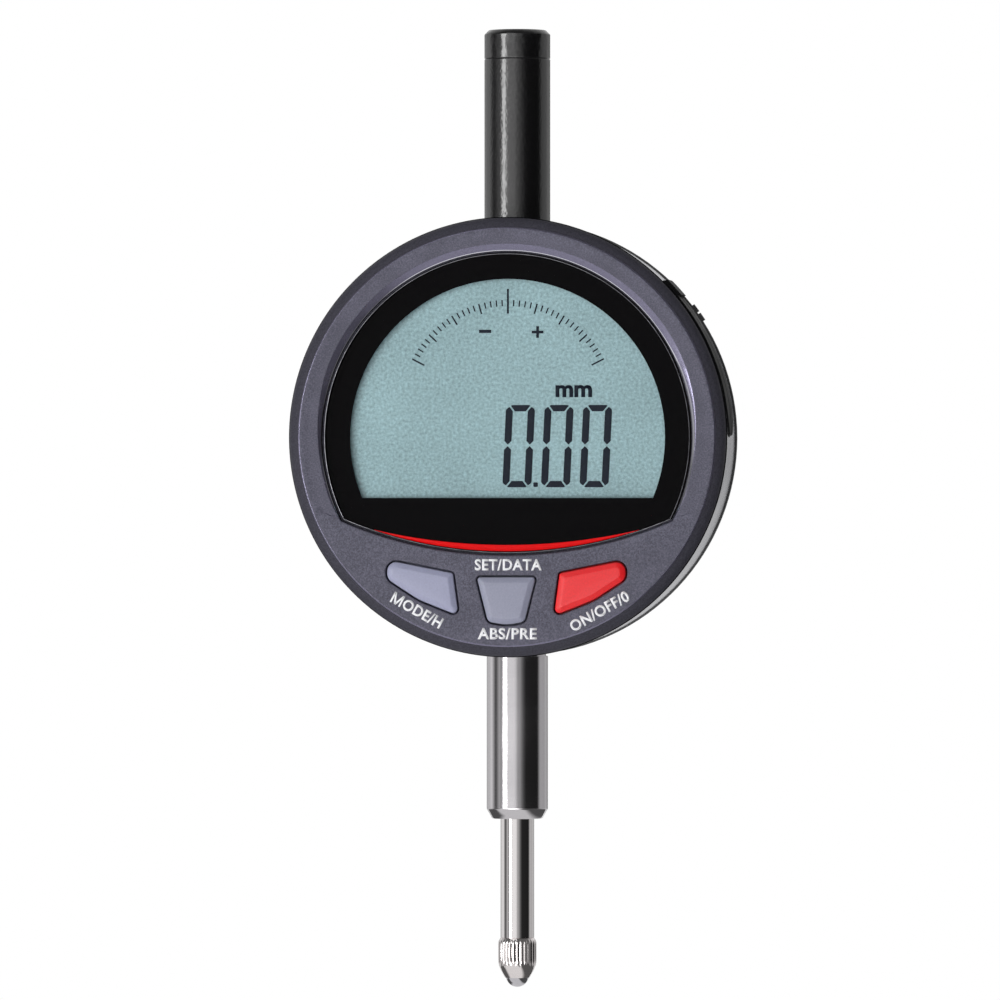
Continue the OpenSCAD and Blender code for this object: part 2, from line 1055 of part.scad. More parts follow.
front_cover();
window_lens();
display_mask();
accent_strip();
lcd_panel();
lcd_frame();
zebra_strip();
main_board();
asic_chip();
board_components();
board_screws();
tact_switches();
mode_button();
mode_plunger();
set_button();
set_plunger();
power_button();
power_plunger();
case_body();
back_cover();
back_gasket();
cover_screws();
battery_drawer();
coin_cell();
battery_bay();
cell_contact_minus();
cell_contact_plus();
stem();
stem_bushing_lower();
stem_bushing_upper();
lock_nuts();
spindle_tube();
tube_bushing();
tube_cap();
spindle();
contact_point();
contact_ball();
scale_carrier();
scale_strip();
carrier_screws();
guide_rod();
return_spring();
stop_buffer();
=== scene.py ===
import math

import bmesh
import bpy
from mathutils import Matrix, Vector, geometry


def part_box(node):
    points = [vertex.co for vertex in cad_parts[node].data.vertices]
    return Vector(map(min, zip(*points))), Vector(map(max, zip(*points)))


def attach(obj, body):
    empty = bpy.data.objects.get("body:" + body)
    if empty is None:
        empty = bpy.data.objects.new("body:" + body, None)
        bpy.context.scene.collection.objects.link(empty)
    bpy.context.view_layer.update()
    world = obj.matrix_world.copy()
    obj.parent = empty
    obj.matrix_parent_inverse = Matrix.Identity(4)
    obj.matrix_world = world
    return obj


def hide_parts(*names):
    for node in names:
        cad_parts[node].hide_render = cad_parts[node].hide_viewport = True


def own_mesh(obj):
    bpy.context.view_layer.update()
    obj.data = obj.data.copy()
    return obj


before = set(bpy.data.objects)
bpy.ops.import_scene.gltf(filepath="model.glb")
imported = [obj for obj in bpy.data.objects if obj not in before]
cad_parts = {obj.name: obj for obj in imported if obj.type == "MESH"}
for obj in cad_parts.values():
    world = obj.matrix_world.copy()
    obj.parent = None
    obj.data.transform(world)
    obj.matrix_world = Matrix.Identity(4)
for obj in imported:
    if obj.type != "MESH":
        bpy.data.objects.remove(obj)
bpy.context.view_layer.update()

# Every length below is in millimetres and is turned into metres when a mesh is made.
MM = 0.001

cover_low, cover_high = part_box("front_cover")
HEAD_Z = (cover_low.z + cover_high.z) / 2 / MM  # height of the head centre
FACE = -cover_low.y / MM  # front face, forward from the stem axis
STEM_LOW, STEM_HIGH = (v.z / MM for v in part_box("stem"))
TUBE_LOW, TUBE_HIGH = (v.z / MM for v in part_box("spindle_tube"))
CAP_LOW, CAP_HIGH = (v.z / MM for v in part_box("tube_cap"))
SPINDLE_LOW, SPINDLE_HIGH = (v.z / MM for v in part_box("spindle"))
BALL_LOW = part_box("contact_ball")[0].z / MM
SPRING_LOW, SPRING_HIGH = (v.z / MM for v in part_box("return_spring"))

RING_R = 26.86  # where the flat of the cover meets its rounded rim
CASE_INNER_R = 26.6  # bore of the case that the cover's bosses stand in
WELD = 2e-7  # points closer than this are one, in metres


# ---------- mesh building ----------


def in_head(u, v, d):
    """Head frame: u right and v up seen from the front, d forward from the stem axis."""
    return (u * MM, -d * MM, (HEAD_Z + v) * MM)


def on_axis(x, y, z):
    """The part's own frame, with its origin on the stem axis."""
    return (x * MM, y * MM, z * MM)


def inside(point, loop):
    """Whether a flat point lies inside a closed outline."""
    hit = False
    for (x0, y0), (x1, y1) in zip(loop, loop[1:] + loop[:1]):
        if (y0 > point[1]) != (y1 > point[1]):
            hit ^= point[0] < (x1 - x0) * (point[1] - y0) / (y1 - y0) + x0
    return hit


class Shell:
    """Points and faces of a closed mesh, gathered loop by loop."""

    def __init__(self, place):
        self.place = place
        self.points, self.flat, self.faces, self.slots = [], [], [], []

    def loop(self, points):
        """Adds points and returns their ids."""
        first = len(self.points)
        for p in points:
            self.points.append(self.place(*p))
            self.flat.append((p[0], p[1]))
        return list(range(first, len(self.points)))

    def face(self, ids, slot=0):
        self.faces.append(tuple(ids))
        self.slots.append(slot)

    def bridge(self, a, b, slot=0):
        """Closed band of faces between two loops. Either may be a single point."""
        if len(a) == 1 and len(b) == 1:
            return
        n = max(len(a), len(b))
        for i in range(n):
            j = (i + 1) % n
            ids = (a[i % len(a)], a[j % len(a)], b[j % len(b)], b[i % len(b)])
            self.face(dict.fromkeys(ids), slot)

    def stack(self, loops, slot=0):
        """Bridges a list of point loops and returns the ids of the first and last."""
        ids = [self.loop(points) for points in loops]
        for a, b in zip(ids, ids[1:]):
            self.bridge(a, b, slot)
        return ids[0], ids[-1]

    def lathe(self, profile, count, closed=True):
        """Turns a profile of radius and height about the axis."""
        rings = []
        for r, h in profile:
            steps = count if r > 1e-6 else 1
            rings.append(
                self.loop(
                    [
                        (r * math.cos(math.tau * i / steps), r * math.sin(math.tau * i / steps), h)
                        for i in range(steps)
                    ]
                )
            )
        for a, b in zip(rings, rings[1:] + (rings[:1] if closed else [])):
            self.bridge(a, b)

    def fill(self, outer, holes=(), lift=None, inner=(), lines=()):
        """Triangulates between outline ids and hole ids.

        Inner points and lines are worked in, at the height that lift gives them.
        """
        loops = [list(outer), *map(list, holes)]
        ids = [i for loop in loops for i in loop]
        edges, first = [], 0
        for loop in loops:
            n = len(loop)
            edges += [(first + i, first + (i + 1) % n) for i in range(n)]
            first += n
        extra = list(inner)
        for line in lines:
            start = len(ids) + len(extra)
            extra += line
            edges += [(start + i, start + i + 1) for i in range(len(line) - 1)]
        ids += self.loop([(u, v, lift(u, v)) for u, v in extra])
        verts, _, faces, origin, _, _ = geometry.delaunay_2d_cdt(
            [Vector(self.flat[i]) for i in ids], edges, [], 0, 1e-7, True
        )
        index = [
            ids[o[0]] if o else self.loop([(p.x, p.y, lift(p.x, p.y))])[0]
            for o, p in zip(origin, verts)
        ]
        borders = [[self.flat[i] for i in loop] for loop in loops]
        for f in faces:
            centre = sum((verts[i] for i in f), Vector((0, 0))) / len(f)
            if inside(centre, borders[0]) and not any(inside(centre, b) for b in borders[1:]):
                self.face([index[i] for i in f])


def link(name, mesh, body, replaces):
    """Puts a mesh in the scene on its body, in place of the CAD nodes it replaces."""
    obj = bpy.data.objects.new(name, mesh)
    bpy.context.scene.collection.objects.link(obj)
    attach(obj, body)
    if replaces:
        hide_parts(*replaces)
    return obj


def piece(name, shells, paints, body, replaces, sharp=32):
    """One object from one or more shells, smooth up to the sharp angle, with area-weighted normals."""
    mesh = bpy.data.meshes.new(name)
    points, faces, slots = [], [], []
    for shell in shells:
        faces += [[i + len(points) for i in f] for f in shell.faces]
        points += shell.points
        slots += shell.slots
    mesh.from_pydata(points, [], faces)
    mesh.polygons.foreach_set("material_index", slots)
    bm = bmesh.new()
    bm.from_mesh(mesh)
    bmesh.ops.remove_doubles(bm, verts=bm.verts, dist=WELD)
    bmesh.ops.recalc_face_normals(bm, faces=bm.faces)
    bm.to_mesh(mesh)
    bm.free()
    for paint in paints:
        mesh.materials.append(paint)
    mesh.shade_smooth()
    mesh.set_sharp_from_angle(angle=math.radians(sharp))
    obj = link(name, mesh, body, replaces)
    weighted = obj.modifiers.new("weighted", "WEIGHTED_NORMAL")
    weighted.keep_sharp = True
    done = bpy.data.meshes.new_from_object(
        obj.evaluated_get(bpy.context.evaluated_depsgraph_get())
    )
    obj.modifiers.clear()
    obj.data = done
    done.name = name
    return obj


# ---------- outlines ----------


def corner(p, a, b, r, steps):
    """Arc that rounds corner p between neighbours a and b."""
    u, v = (a - p).normalized(), (b - p).normalized()
    half = math.acos(max(-1, min(1, u.dot(v)))) / 2
    c = p + (u + v).normalized() * (r / math.sin(half))
    s, e = p + u * (r / math.tan(half)) - c, p + v * (r / math.tan(half)) - c
    start = math.atan2(s.y, s.x)
    sweep = (math.atan2(e.y, e.x) - start + math.pi) % math.tau - math.pi
    return [
        (c.x + r * math.cos(start + sweep * i / steps), c.y + r * math.sin(start + sweep * i / steps))
        for i in range(steps + 1)
    ]


def rounded(points, radii, gap=0.0, steps=8, least=0.2):
    """Convex outline moved inward by gap, with its corners rounded."""
    points = [Vector(p) for p in points]
    n = len(points)
    moved = []
    for i in range(n):
        u = (points[i - 1] - points[i]).normalized()
        v = (points[(i + 1) % n] - points[i]).normalized()
        half = math.acos(max(-1, min(1, u.dot(v)))) / 2
        moved.append(points[i] + (u + v).normalized() * (gap / math.sin(half)))
    loop = []
    for i in range(n):
        loop += corner(moved[i], moved[i - 1], moved[(i + 1) % n], max(radii[i] - gap, least), steps)
    return loop


def circle(radius, count):
    turns = (math.tau * i / count for i in range(count))
    return [(radius * math.cos(a), radius * math.sin(a)) for a in turns]


def at(points, height):
    """Flat points, all at one height."""
    return [(u, v, height) for u, v in points]


WINDOW_ARC = 54.2  # radius of the shallow arc under the window
WINDOW_OVER, WINDOW_UNDER = 150, 56  # steps round the circle and along the arc


def window_outline(radius, bottom):
    """Points and outward normals round a circle that a shallow arc cuts off below.

    The circle's points come first.
    """
    over, under = WINDOW_OVER, WINDOW_UNDER
    lift = WINDOW_ARC - bottom
    y = (radius**2 - WINDOW_ARC**2 + lift**2) / (2 * lift)
    low = math.asin(y / radius)
    points, normals = [], []
    for i in range(over + 1):
        a = low + (math.pi - 2 * low) * i / over
        points.append((radius * math.cos(a), radius * math.sin(a)))
        normals.append((math.cos(a), math.sin(a)))
    half = math.asin(radius * math.cos(low) / WINDOW_ARC)
    for i in range(1, under):
        a = -half + 2 * half * i / under
        points.append((WINDOW_ARC * math.sin(a), lift - WINDOW_ARC * math.cos(a)))
        normals.append((math.sin(a), -math.cos(a)))
    for i, side in ((0, 1), (over, -1)):
        n = Vector(normals[i]) + Vector((side * math.sin(half), -math.cos(half)))
        normals[i] = tuple(n * (2 / n.length_squared))
    return points, normals


def moved(points, normals, by):
    """Points moved outward along their normals, each by its own distance."""
    return [(p[0] + n[0] * b, p[1] + n[1] * b) for p, n, b in zip(points, normals, by)]


def cut_circle(radius, bottom, count):
    """Circle cut straight across below."""
    low = -math.asin(bottom / radius)
    turns = (low + (math.pi - 2 * low) * i / count for i in range(count + 1))
    return [(radius * math.cos(a), radius * math.sin(a)) for a in turns]


def smooth(low, high, x):
    """Eases from 0 at low to 1 at high."""
    t = max(0.0, min(1.0, (x - low) / (high - low)))
    return t * t * (3 - 2 * t)


# Corners of the left and middle buttons with the radius at each, and where their switches stand.
SIDE_BUTTON = [(-15.69, -15.65), (-6.75, -17.42), (-5.95, -23.4), (-11.5, -21.2), (-15.69, -18.45)]
SIDE_RADII = [1.4, 0.6, 0.8, 9, 1.5]
MIDDLE_BUTTON = [(-4.1, -17.9), (4.1, -17.9), (2.55, -24.05), (0, -24.5), (-2.55, -24.05)]
MIDDLE_RADII = [0.6, 0.6, 1.1, 6, 1.1]
SIDE_SWITCH = (10.9, -19.2)
MIDDLE_SWITCH = (0, -20.9)


def side_outline(gap, side):
    """Left button for side 1, and its mirror on the right for side -1."""
    loop = rounded(SIDE_BUTTON, SIDE_RADII, gap)
    return [(side * x, y) for x, y in loop]


def middle_outline(gap, side):
    """The middle button is its own mirror, so its side makes no difference."""
    return rounded(MIDDLE_BUTTON, MIDDLE_RADII, gap)


# ---------- materials ----------


def srgb(r, g, b):
    """Linear colour of an 8-bit screen colour."""
    steps = [c / 255 for c in (r, g, b)]
    return tuple(((c + 0.055) / 1.055) ** 2.4 if c > 0.04 else c / 12.92 for c in steps) + (1.0,)


def tone(colour, factor):
    """The colour made darker or lighter."""
    return tuple(min(1.0, c * factor) for c in colour[:3]) + (1.0,)


class Nodes:
    """Short calls for a material's node tree. Texture coordinates are the object's own, in metres."""

    def __init__(self, name):
        self.material = bpy.data.materials.new(name)
        self.material.use_nodes = True
        self.tree = self.material.node_tree
        self.shader = self.tree.nodes["Principled BSDF"]
        self.coords = self.tree.nodes.new("ShaderNodeTexCoord").outputs["Object"]

    def add(self, kind, inputs=None, **values):
        """Adds a node. An input is either a number, a tuple or another node's socket."""
        node = self.tree.nodes.new(kind)
        for key, value in values.items():
            setattr(node, key, value)
        for key, value in (inputs or {}).items():
            if isinstance(value, bpy.types.NodeSocket):
                self.tree.links.new(value, node.inputs[key])
            else:
                node.inputs[key].default_value = value
        return node

    def stretched(self, scale):
        return self.add("ShaderNodeMapping", {"Vector": self.coords, "Scale": scale}).outputs["Vector"]

    def noise(self, scale, detail=2.0, rough=0.5, coords=None):
        return self.add(
            "ShaderNodeTexNoise",
            {"Vector": coords or self.coords, "Scale": scale, "Detail": detail, "Roughness": rough},
        ).outputs["Fac"]

    def ramp(self, fac, *stops):
        node = self.add("ShaderNodeValToRGB", {"Fac": fac})
        while len(node.color_ramp.elements) < len(stops):
            node.color_ramp.elements.new(0.5)
        for element, (place, colour) in zip(node.color_ramp.elements, stops):
            element.position = place
            element.color = colour
        return node.outputs["Color"]

    def span(self, fac, low, high):
        """Spreads the usual run of a noise over a range."""
        return self.add(
            "ShaderNodeMapRange",
            {"Value": fac, "From Min": 0.3, "From Max": 0.7, "To Min": low, "To Max": high},
        ).outputs["Result"]

    def maths(self, operation, *inputs, clamp=False):
        return self.add(
            "ShaderNodeMath", dict(enumerate(inputs)), operation=operation, use_clamp=clamp
        ).outputs["Value"]

    def bump(self, height, strength, distance):
        inputs = {"Height": height, "Strength": strength, "Distance": distance * MM}
        return self.add("ShaderNodeBump", inputs).outputs["Normal"]

    def wire(self, **sockets):
        """Sets or links the shader's own sockets and returns the material."""
        for key, value in sockets.items():
            name = key.replace("_", " ")
            if isinstance(value, bpy.types.NodeSocket):
                self.tree.links.new(value, self.shader.inputs[name])
            else:
                self.shader.inputs[name].default_value = value
        return self.material


def grained(name, colour, grain, spread, roughness, bump, metallic=0.0, **sockets):
    """Moulded or painted surface: fine grain in colour and bump, slow mottling in roughness."""
    n = Nodes(name)
    fine = n.noise(grain, 3.0, 0.6)
    slow = n.noise(grain / 14, 2.0)
    colours = n.ramp(fine, (0.3, tone(colour, 1 - spread)), (0.7, tone(colour, 1 + spread)))
    return n.wire(
        Base_Color=colours,
        Roughness=n.span(slow, *roughness),
        Normal=n.bump(fine, bump, 0.02),
        Metallic=metallic,
        **sockets,
    )


def turned(name, colour, roughness, lines, across=(900, 900, 14000)):
    """Turned or ground metal: fine marks round the axis, with slow changes along it."""
    n = Nodes(name)
    marks = n.noise(1.0, 4.0, 0.7, n.stretched(across))
    slow = n.noise(160, 3.0)
    colours = n.ramp(marks, (0.25, tone(colour, 0.93)), (0.75, tone(colour, 1.04)))
    return n.wire(
        Base_Color=colours,
        Roughness=n.span(slow, *roughness),
        Normal=n.bump(marks, lines, 0.01),
        Metallic=1.0,
    )


def cover_paint():
    """Grey satin paint with fine metal flake."""
    n = Nodes("cover_paint")
    flake = n.noise(5200, 2.0, 0.7)
    cloud = n.noise(260, 3.0)
    base = srgb(86, 85, 99)
    colours = n.ramp(
        n.maths("ADD", n.maths("MULTIPLY", flake, 0.8), n.maths("MULTIPLY", cloud, 0.2)),
        (0.32, tone(base, 0.6)),
        (0.5, base),
        (0.66, tone(base, 1.6)),
    )
    return n.wire(
        Base_Color=colours,
        Roughness=n.span(flake, 0.44, 0.54),
        Normal=n.bump(flake, 0.3, 0.02),
        Metallic=0.2,
        Specular_IOR_Level=0.3,
    )


def hammered(name, size, strength):
    """Black enamel over a hammered surface. The dimples lie askew, so that their rows don't line up."""
    n = Nodes(name)
    slanted = n.add(
        "ShaderNodeMapping",
        {"Vector": n.coords, "Scale": (1.0, 1.0, 0.72), "Rotation": (0.5, 0.6, 0.0)},
    ).outputs["Vector"]
    dimples = n.add(
        "ShaderNodeTexVoronoi", {"Vector": slanted, "Scale": size}, feature="SMOOTH_F1"
    ).outputs["Distance"]
    fine = n.noise(size * 1.6, 2.0, 0.5, slanted)
    height = n.maths("ADD", dimples, n.maths("MULTIPLY", fine, 0.5))
    colours = n.ramp(fine, (0.3, srgb(8, 8, 9)), (0.7, srgb(14, 13, 15)))
    return n.wire(
        Base_Color=colours,
        Roughness=n.span(fine, 0.17, 0.24),
        Normal=n.bump(height, strength, 0.09),
        Specular_IOR_Level=1.0,
    )


def display_film():
    """Reflective liquid crystal: pale green grey, faintly mottled."""
    n = Nodes("display_film")
    fine = n.noise(2600, 3.0, 0.65)
    slow = n.noise(90, 2.0)
    base = srgb(165, 199, 205)
    mixed = n.maths("ADD", n.maths("MULTIPLY", fine, 0.8), n.maths("MULTIPLY", slow, 0.2))
    return n.wire(
        Base_Color=n.ramp(mixed, (0.34, tone(base, 0.7)), (0.66, tone(base, 1.3))),
        Roughness=n.span(fine, 0.4, 0.5),
        Normal=n.bump(fine, 0.05, 0.01),
        Specular_IOR_Level=0.3,
        Coat_Weight=0.4,
        Coat_Roughness=0.06,
    )


def window_acrylic():
    """Clear lens: nearly all alpha. Its gloss is the coat of the film and the mask behind it."""
    n = Nodes("window_acrylic")
    smudge = n.noise(140, 4.0, 0.6)
    return n.wire(
        Base_Color=n.ramp(smudge, (0.3, srgb(8, 9, 10)), (0.7, srgb(14, 15, 17))),
        Roughness=n.span(smudge, 0.03, 0.09),
        Alpha=0.06,
        Specular_IOR_Level=0.0,
    )


def window_edge_highlight():
    """Edge of the lens: opaque light grey metal, a painted highlight standing in for the light that its
    polished edge gathers.
    """
    n = Nodes("window_edge_highlight")
    along = n.noise(900, 2.0)
    return n.wire(
        Base_Color=n.ramp(along, (0.3, srgb(104, 104, 110)), (0.7, srgb(144, 144, 150))),
        Roughness=n.span(along, 0.12, 0.25),
        Metallic=0.6,
    )


def circuit_board():
    """Green solder mask with copper tracks under it."""
    n = Nodes("circuit_board")
    upright = n.add("ShaderNodeMapping", {"Vector": n.coords, "Rotation": (math.pi / 2, 0, 0)})
    tracks = n.add(
        "ShaderNodeTexBrick",
        {
            "Vector": upright.outputs["Vector"],
            "Scale": 420.0,
            "Mortar Size": 0.035,
            "Color1": srgb(18, 74, 44),
            "Color2": srgb(14, 62, 38),
            "Mortar": srgb(46, 112, 66),
        },
    )
    fine = n.noise(3000, 2.0)
    return n.wire(
        Base_Color=tracks.outputs["Color"],
        Roughness=n.span(fine, 0.3, 0.45),
        Normal=n.bump(tracks.outputs["Fac"], 0.3, 0.02),
    )


LILAC = srgb(160, 162, 188)
GREY = srgb(148, 150, 170)
RED = srgb(241, 32, 38)

materials = {
    "cover_grey": cover_paint(),
    "case_metal": turned("case_metal_satin", srgb(192, 192, 198), (0.2, 0.3), 0.12, (2600, 700, 2600)),
    "black_plastic": grained(
        "black_plastic_moulded", srgb(25, 25, 27), 2600, 0.25, (0.5, 0.62), 0.35, Specular_IOR_Level=0.1
    ),
    "mask_black": grained(
        "mask_black_print", srgb(5, 4, 6), 3000, 0.2, (0.12, 0.18), 0.02,
        Specular_IOR_Level=0.0, Coat_Weight=0.15,
    ),
    "accent_red": grained(
        "accent_red_enamel", srgb(232, 6, 12), 1800, 0.06, (0.2, 0.28), 0.05, Specular_IOR_Level=0.12
    ),
    "lcd": display_film(),
    "lcd_frame": grained("lcd_frame_white", srgb(214, 214, 208), 2400, 0.05, (0.4, 0.5), 0.1),
    "zebra": grained("zebra_rubber", srgb(196, 118, 150), 2600, 0.12, (0.5, 0.6), 0.1),
    "board": circuit_board(),
    "chip": grained("chip_epoxy", srgb(24, 24, 26), 3600, 0.2, (0.3, 0.5), 0.3),
    "components": grained("component_ceramic", srgb(170, 150, 118), 2400, 0.35, (0.4, 0.55), 0.2),
    "screw_steel": turned("screw_steel", srgb(188, 188, 190), (0.18, 0.3), 0.1, (3000, 3000, 3000)),
    "switch_black": grained("switch_black", srgb(34, 34, 36), 3000, 0.2, (0.4, 0.5), 0.2),
    "plunger_white": grained("plunger_white", srgb(222, 222, 216), 2800, 0.05, (0.4, 0.5), 0.1),
    "button_lilac": grained("button_lilac_plastic", LILAC, 4200, 0.06, (0.3, 0.38), 0.06),
    "button_grey": grained("button_grey_plastic", GREY, 4200, 0.06, (0.28, 0.36), 0.06),
    "button_red": grained("button_red_plastic", RED, 4200, 0.07, (0.3, 0.38), 0.06),
    "gasket": grained("gasket_rubber", srgb(26, 26, 27), 3000, 0.2, (0.6, 0.75), 0.3),
    "cell_steel": turned("cell_steel", srgb(206, 206, 210), (0.16, 0.26), 0.1, (1800, 1800, 1800)),
    "contact_brass": turned("contact_brass", srgb(214, 178, 96), (0.2, 0.32), 0.08, (2400, 900, 2400)),
    "stem_steel": turned("stem_steel", srgb(208, 205, 208), (0.1, 0.17), 0.06),
    "bronze": turned("bearing_bronze", srgb(186, 132, 72), (0.25, 0.4), 0.15),
    "tube_black": hammered("tube_enamel", 3000, 0.19),
    "spindle_steel": turned("spindle_steel", srgb(236, 232, 232), (0.05, 0.09), 0.02),
    "contact_steel": turned("contact_steel", srgb(236, 230, 229), (0.1, 0.17), 0.05, (1800, 1800, 2600)),
    "ball": turned("ball_carbide", srgb(206, 204, 208), (0.05, 0.1), 0.02, (1200, 1200, 1200)),
    "carrier": turned("carrier_alloy", srgb(120, 120, 128), (0.3, 0.42), 0.2, (1500, 1500, 5200)),
    "scale": grained("scale_laminate", srgb(30, 84, 70), 2600, 0.2, (0.3, 0.4), 0.1),
    "spring_steel": turned("spring_wire", srgb(190, 190, 194), (0.16, 0.28), 0.1, (2200, 2200, 2200)),
    "buffer": grained("buffer_rubber", srgb(24, 24, 25), 3000, 0.2, (0.6, 0.75), 0.3),
}
# Bevel round the window, and the small edge where the flat meets the rim: a polished metallic finish lighter
# than the cover paint. The lighter colour is painted light, and on the rim's edge it is a painted highlight
# line.
cover_bevel_painted_light = grained(
    "cover_bevel_polished_painted_light", srgb(128, 125, 146), 5200, 0.14, (0.2, 0.3), 0.1, 0.85, Specular_IOR_Level=0.5
)
# Near-white mirror metal for the narrow facet at the window's inner edge: a painted highlight.
cover_edge_highlight = turned("cover_edge_painted_highlight", srgb(236, 236, 246), (0.1, 0.16), 0.05, (5200, 5200, 5200))
# Darker than the cover paint: painted shade on the rounded rim.
cover_rim_shaded = grained(
    "cover_rim_satin_painted_shade", srgb(66, 65, 74), 5200, 0.3, (0.46, 0.56), 0.2, 0.1, Specular_IOR_Level=0.12
)
# Near-black band over the back of the rim: painted shadow of the gap behind the cover.
painted_shadow = grained(
    "cover_painted_shadow_line", srgb(12, 12, 14), 4200, 0.2, (0.6, 0.7), 0.1, Specular_IOR_Level=0.0
)
back_gloss = grained(
    "back_cover_gloss", srgb(26, 26, 28), 2600, 0.25, (0.22, 0.3), 0.15, Specular_IOR_Level=0.7
)
cap_enamel = hammered("cap_enamel", 1500, 0.35)
lens_clear = window_acrylic()
lens_edge_highlight = window_edge_highlight()
ink_dark = grained("display_ink", srgb(24, 32, 46), 3600, 0.2, (0.4, 0.5), 0.05, Specular_IOR_Level=0.2)
ink_white = grained("label_ink", srgb(250, 250, 255), 3600, 0.03, (0.4, 0.5), 0.05)

for name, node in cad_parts.items():
    for i, m in enumerate(node.data.materials):
        base = m.name.split(".")[0]
        if base in materials:
            node.data.materials[i] = back_gloss if name == "back_cover" else materials[base]


# ---------- front cover ----------

WINDOW_R, WINDOW_BOTTOM = 24.1, 15.3
POCKET_FLOOR = FACE - 1.5  # the printed mask and the lens lie on it
APRON_BACK = FACE - 2.0  # inner face of the cover
CREASE_CENTRE = WINDOW_ARC - WINDOW_BOTTOM
CREASE_WIDTH = 0.06
RING_DROP = 0.08
BEVEL_ANGLE = math.radians(25)
BEVEL, EDGE, RIM, MASK, PAINTED_SHADOW = range(1, 6)  # the front cover's materials after its paint: the bevel with painted light, the bright edge as a painted highlight, the rim with painted shade, the mask, and a painted shadow line


def cover_height(u, v):
    """The ring round the window lies slightly below the apron that holds the buttons."""
    if math.hypot(u, v - CREASE_CENTRE) > WINDOW_ARC - CREASE_WIDTH:
        return FACE
    return FACE - RING_DROP * (1 - smooth(25.6, 26.8, math.hypot(u, v)))


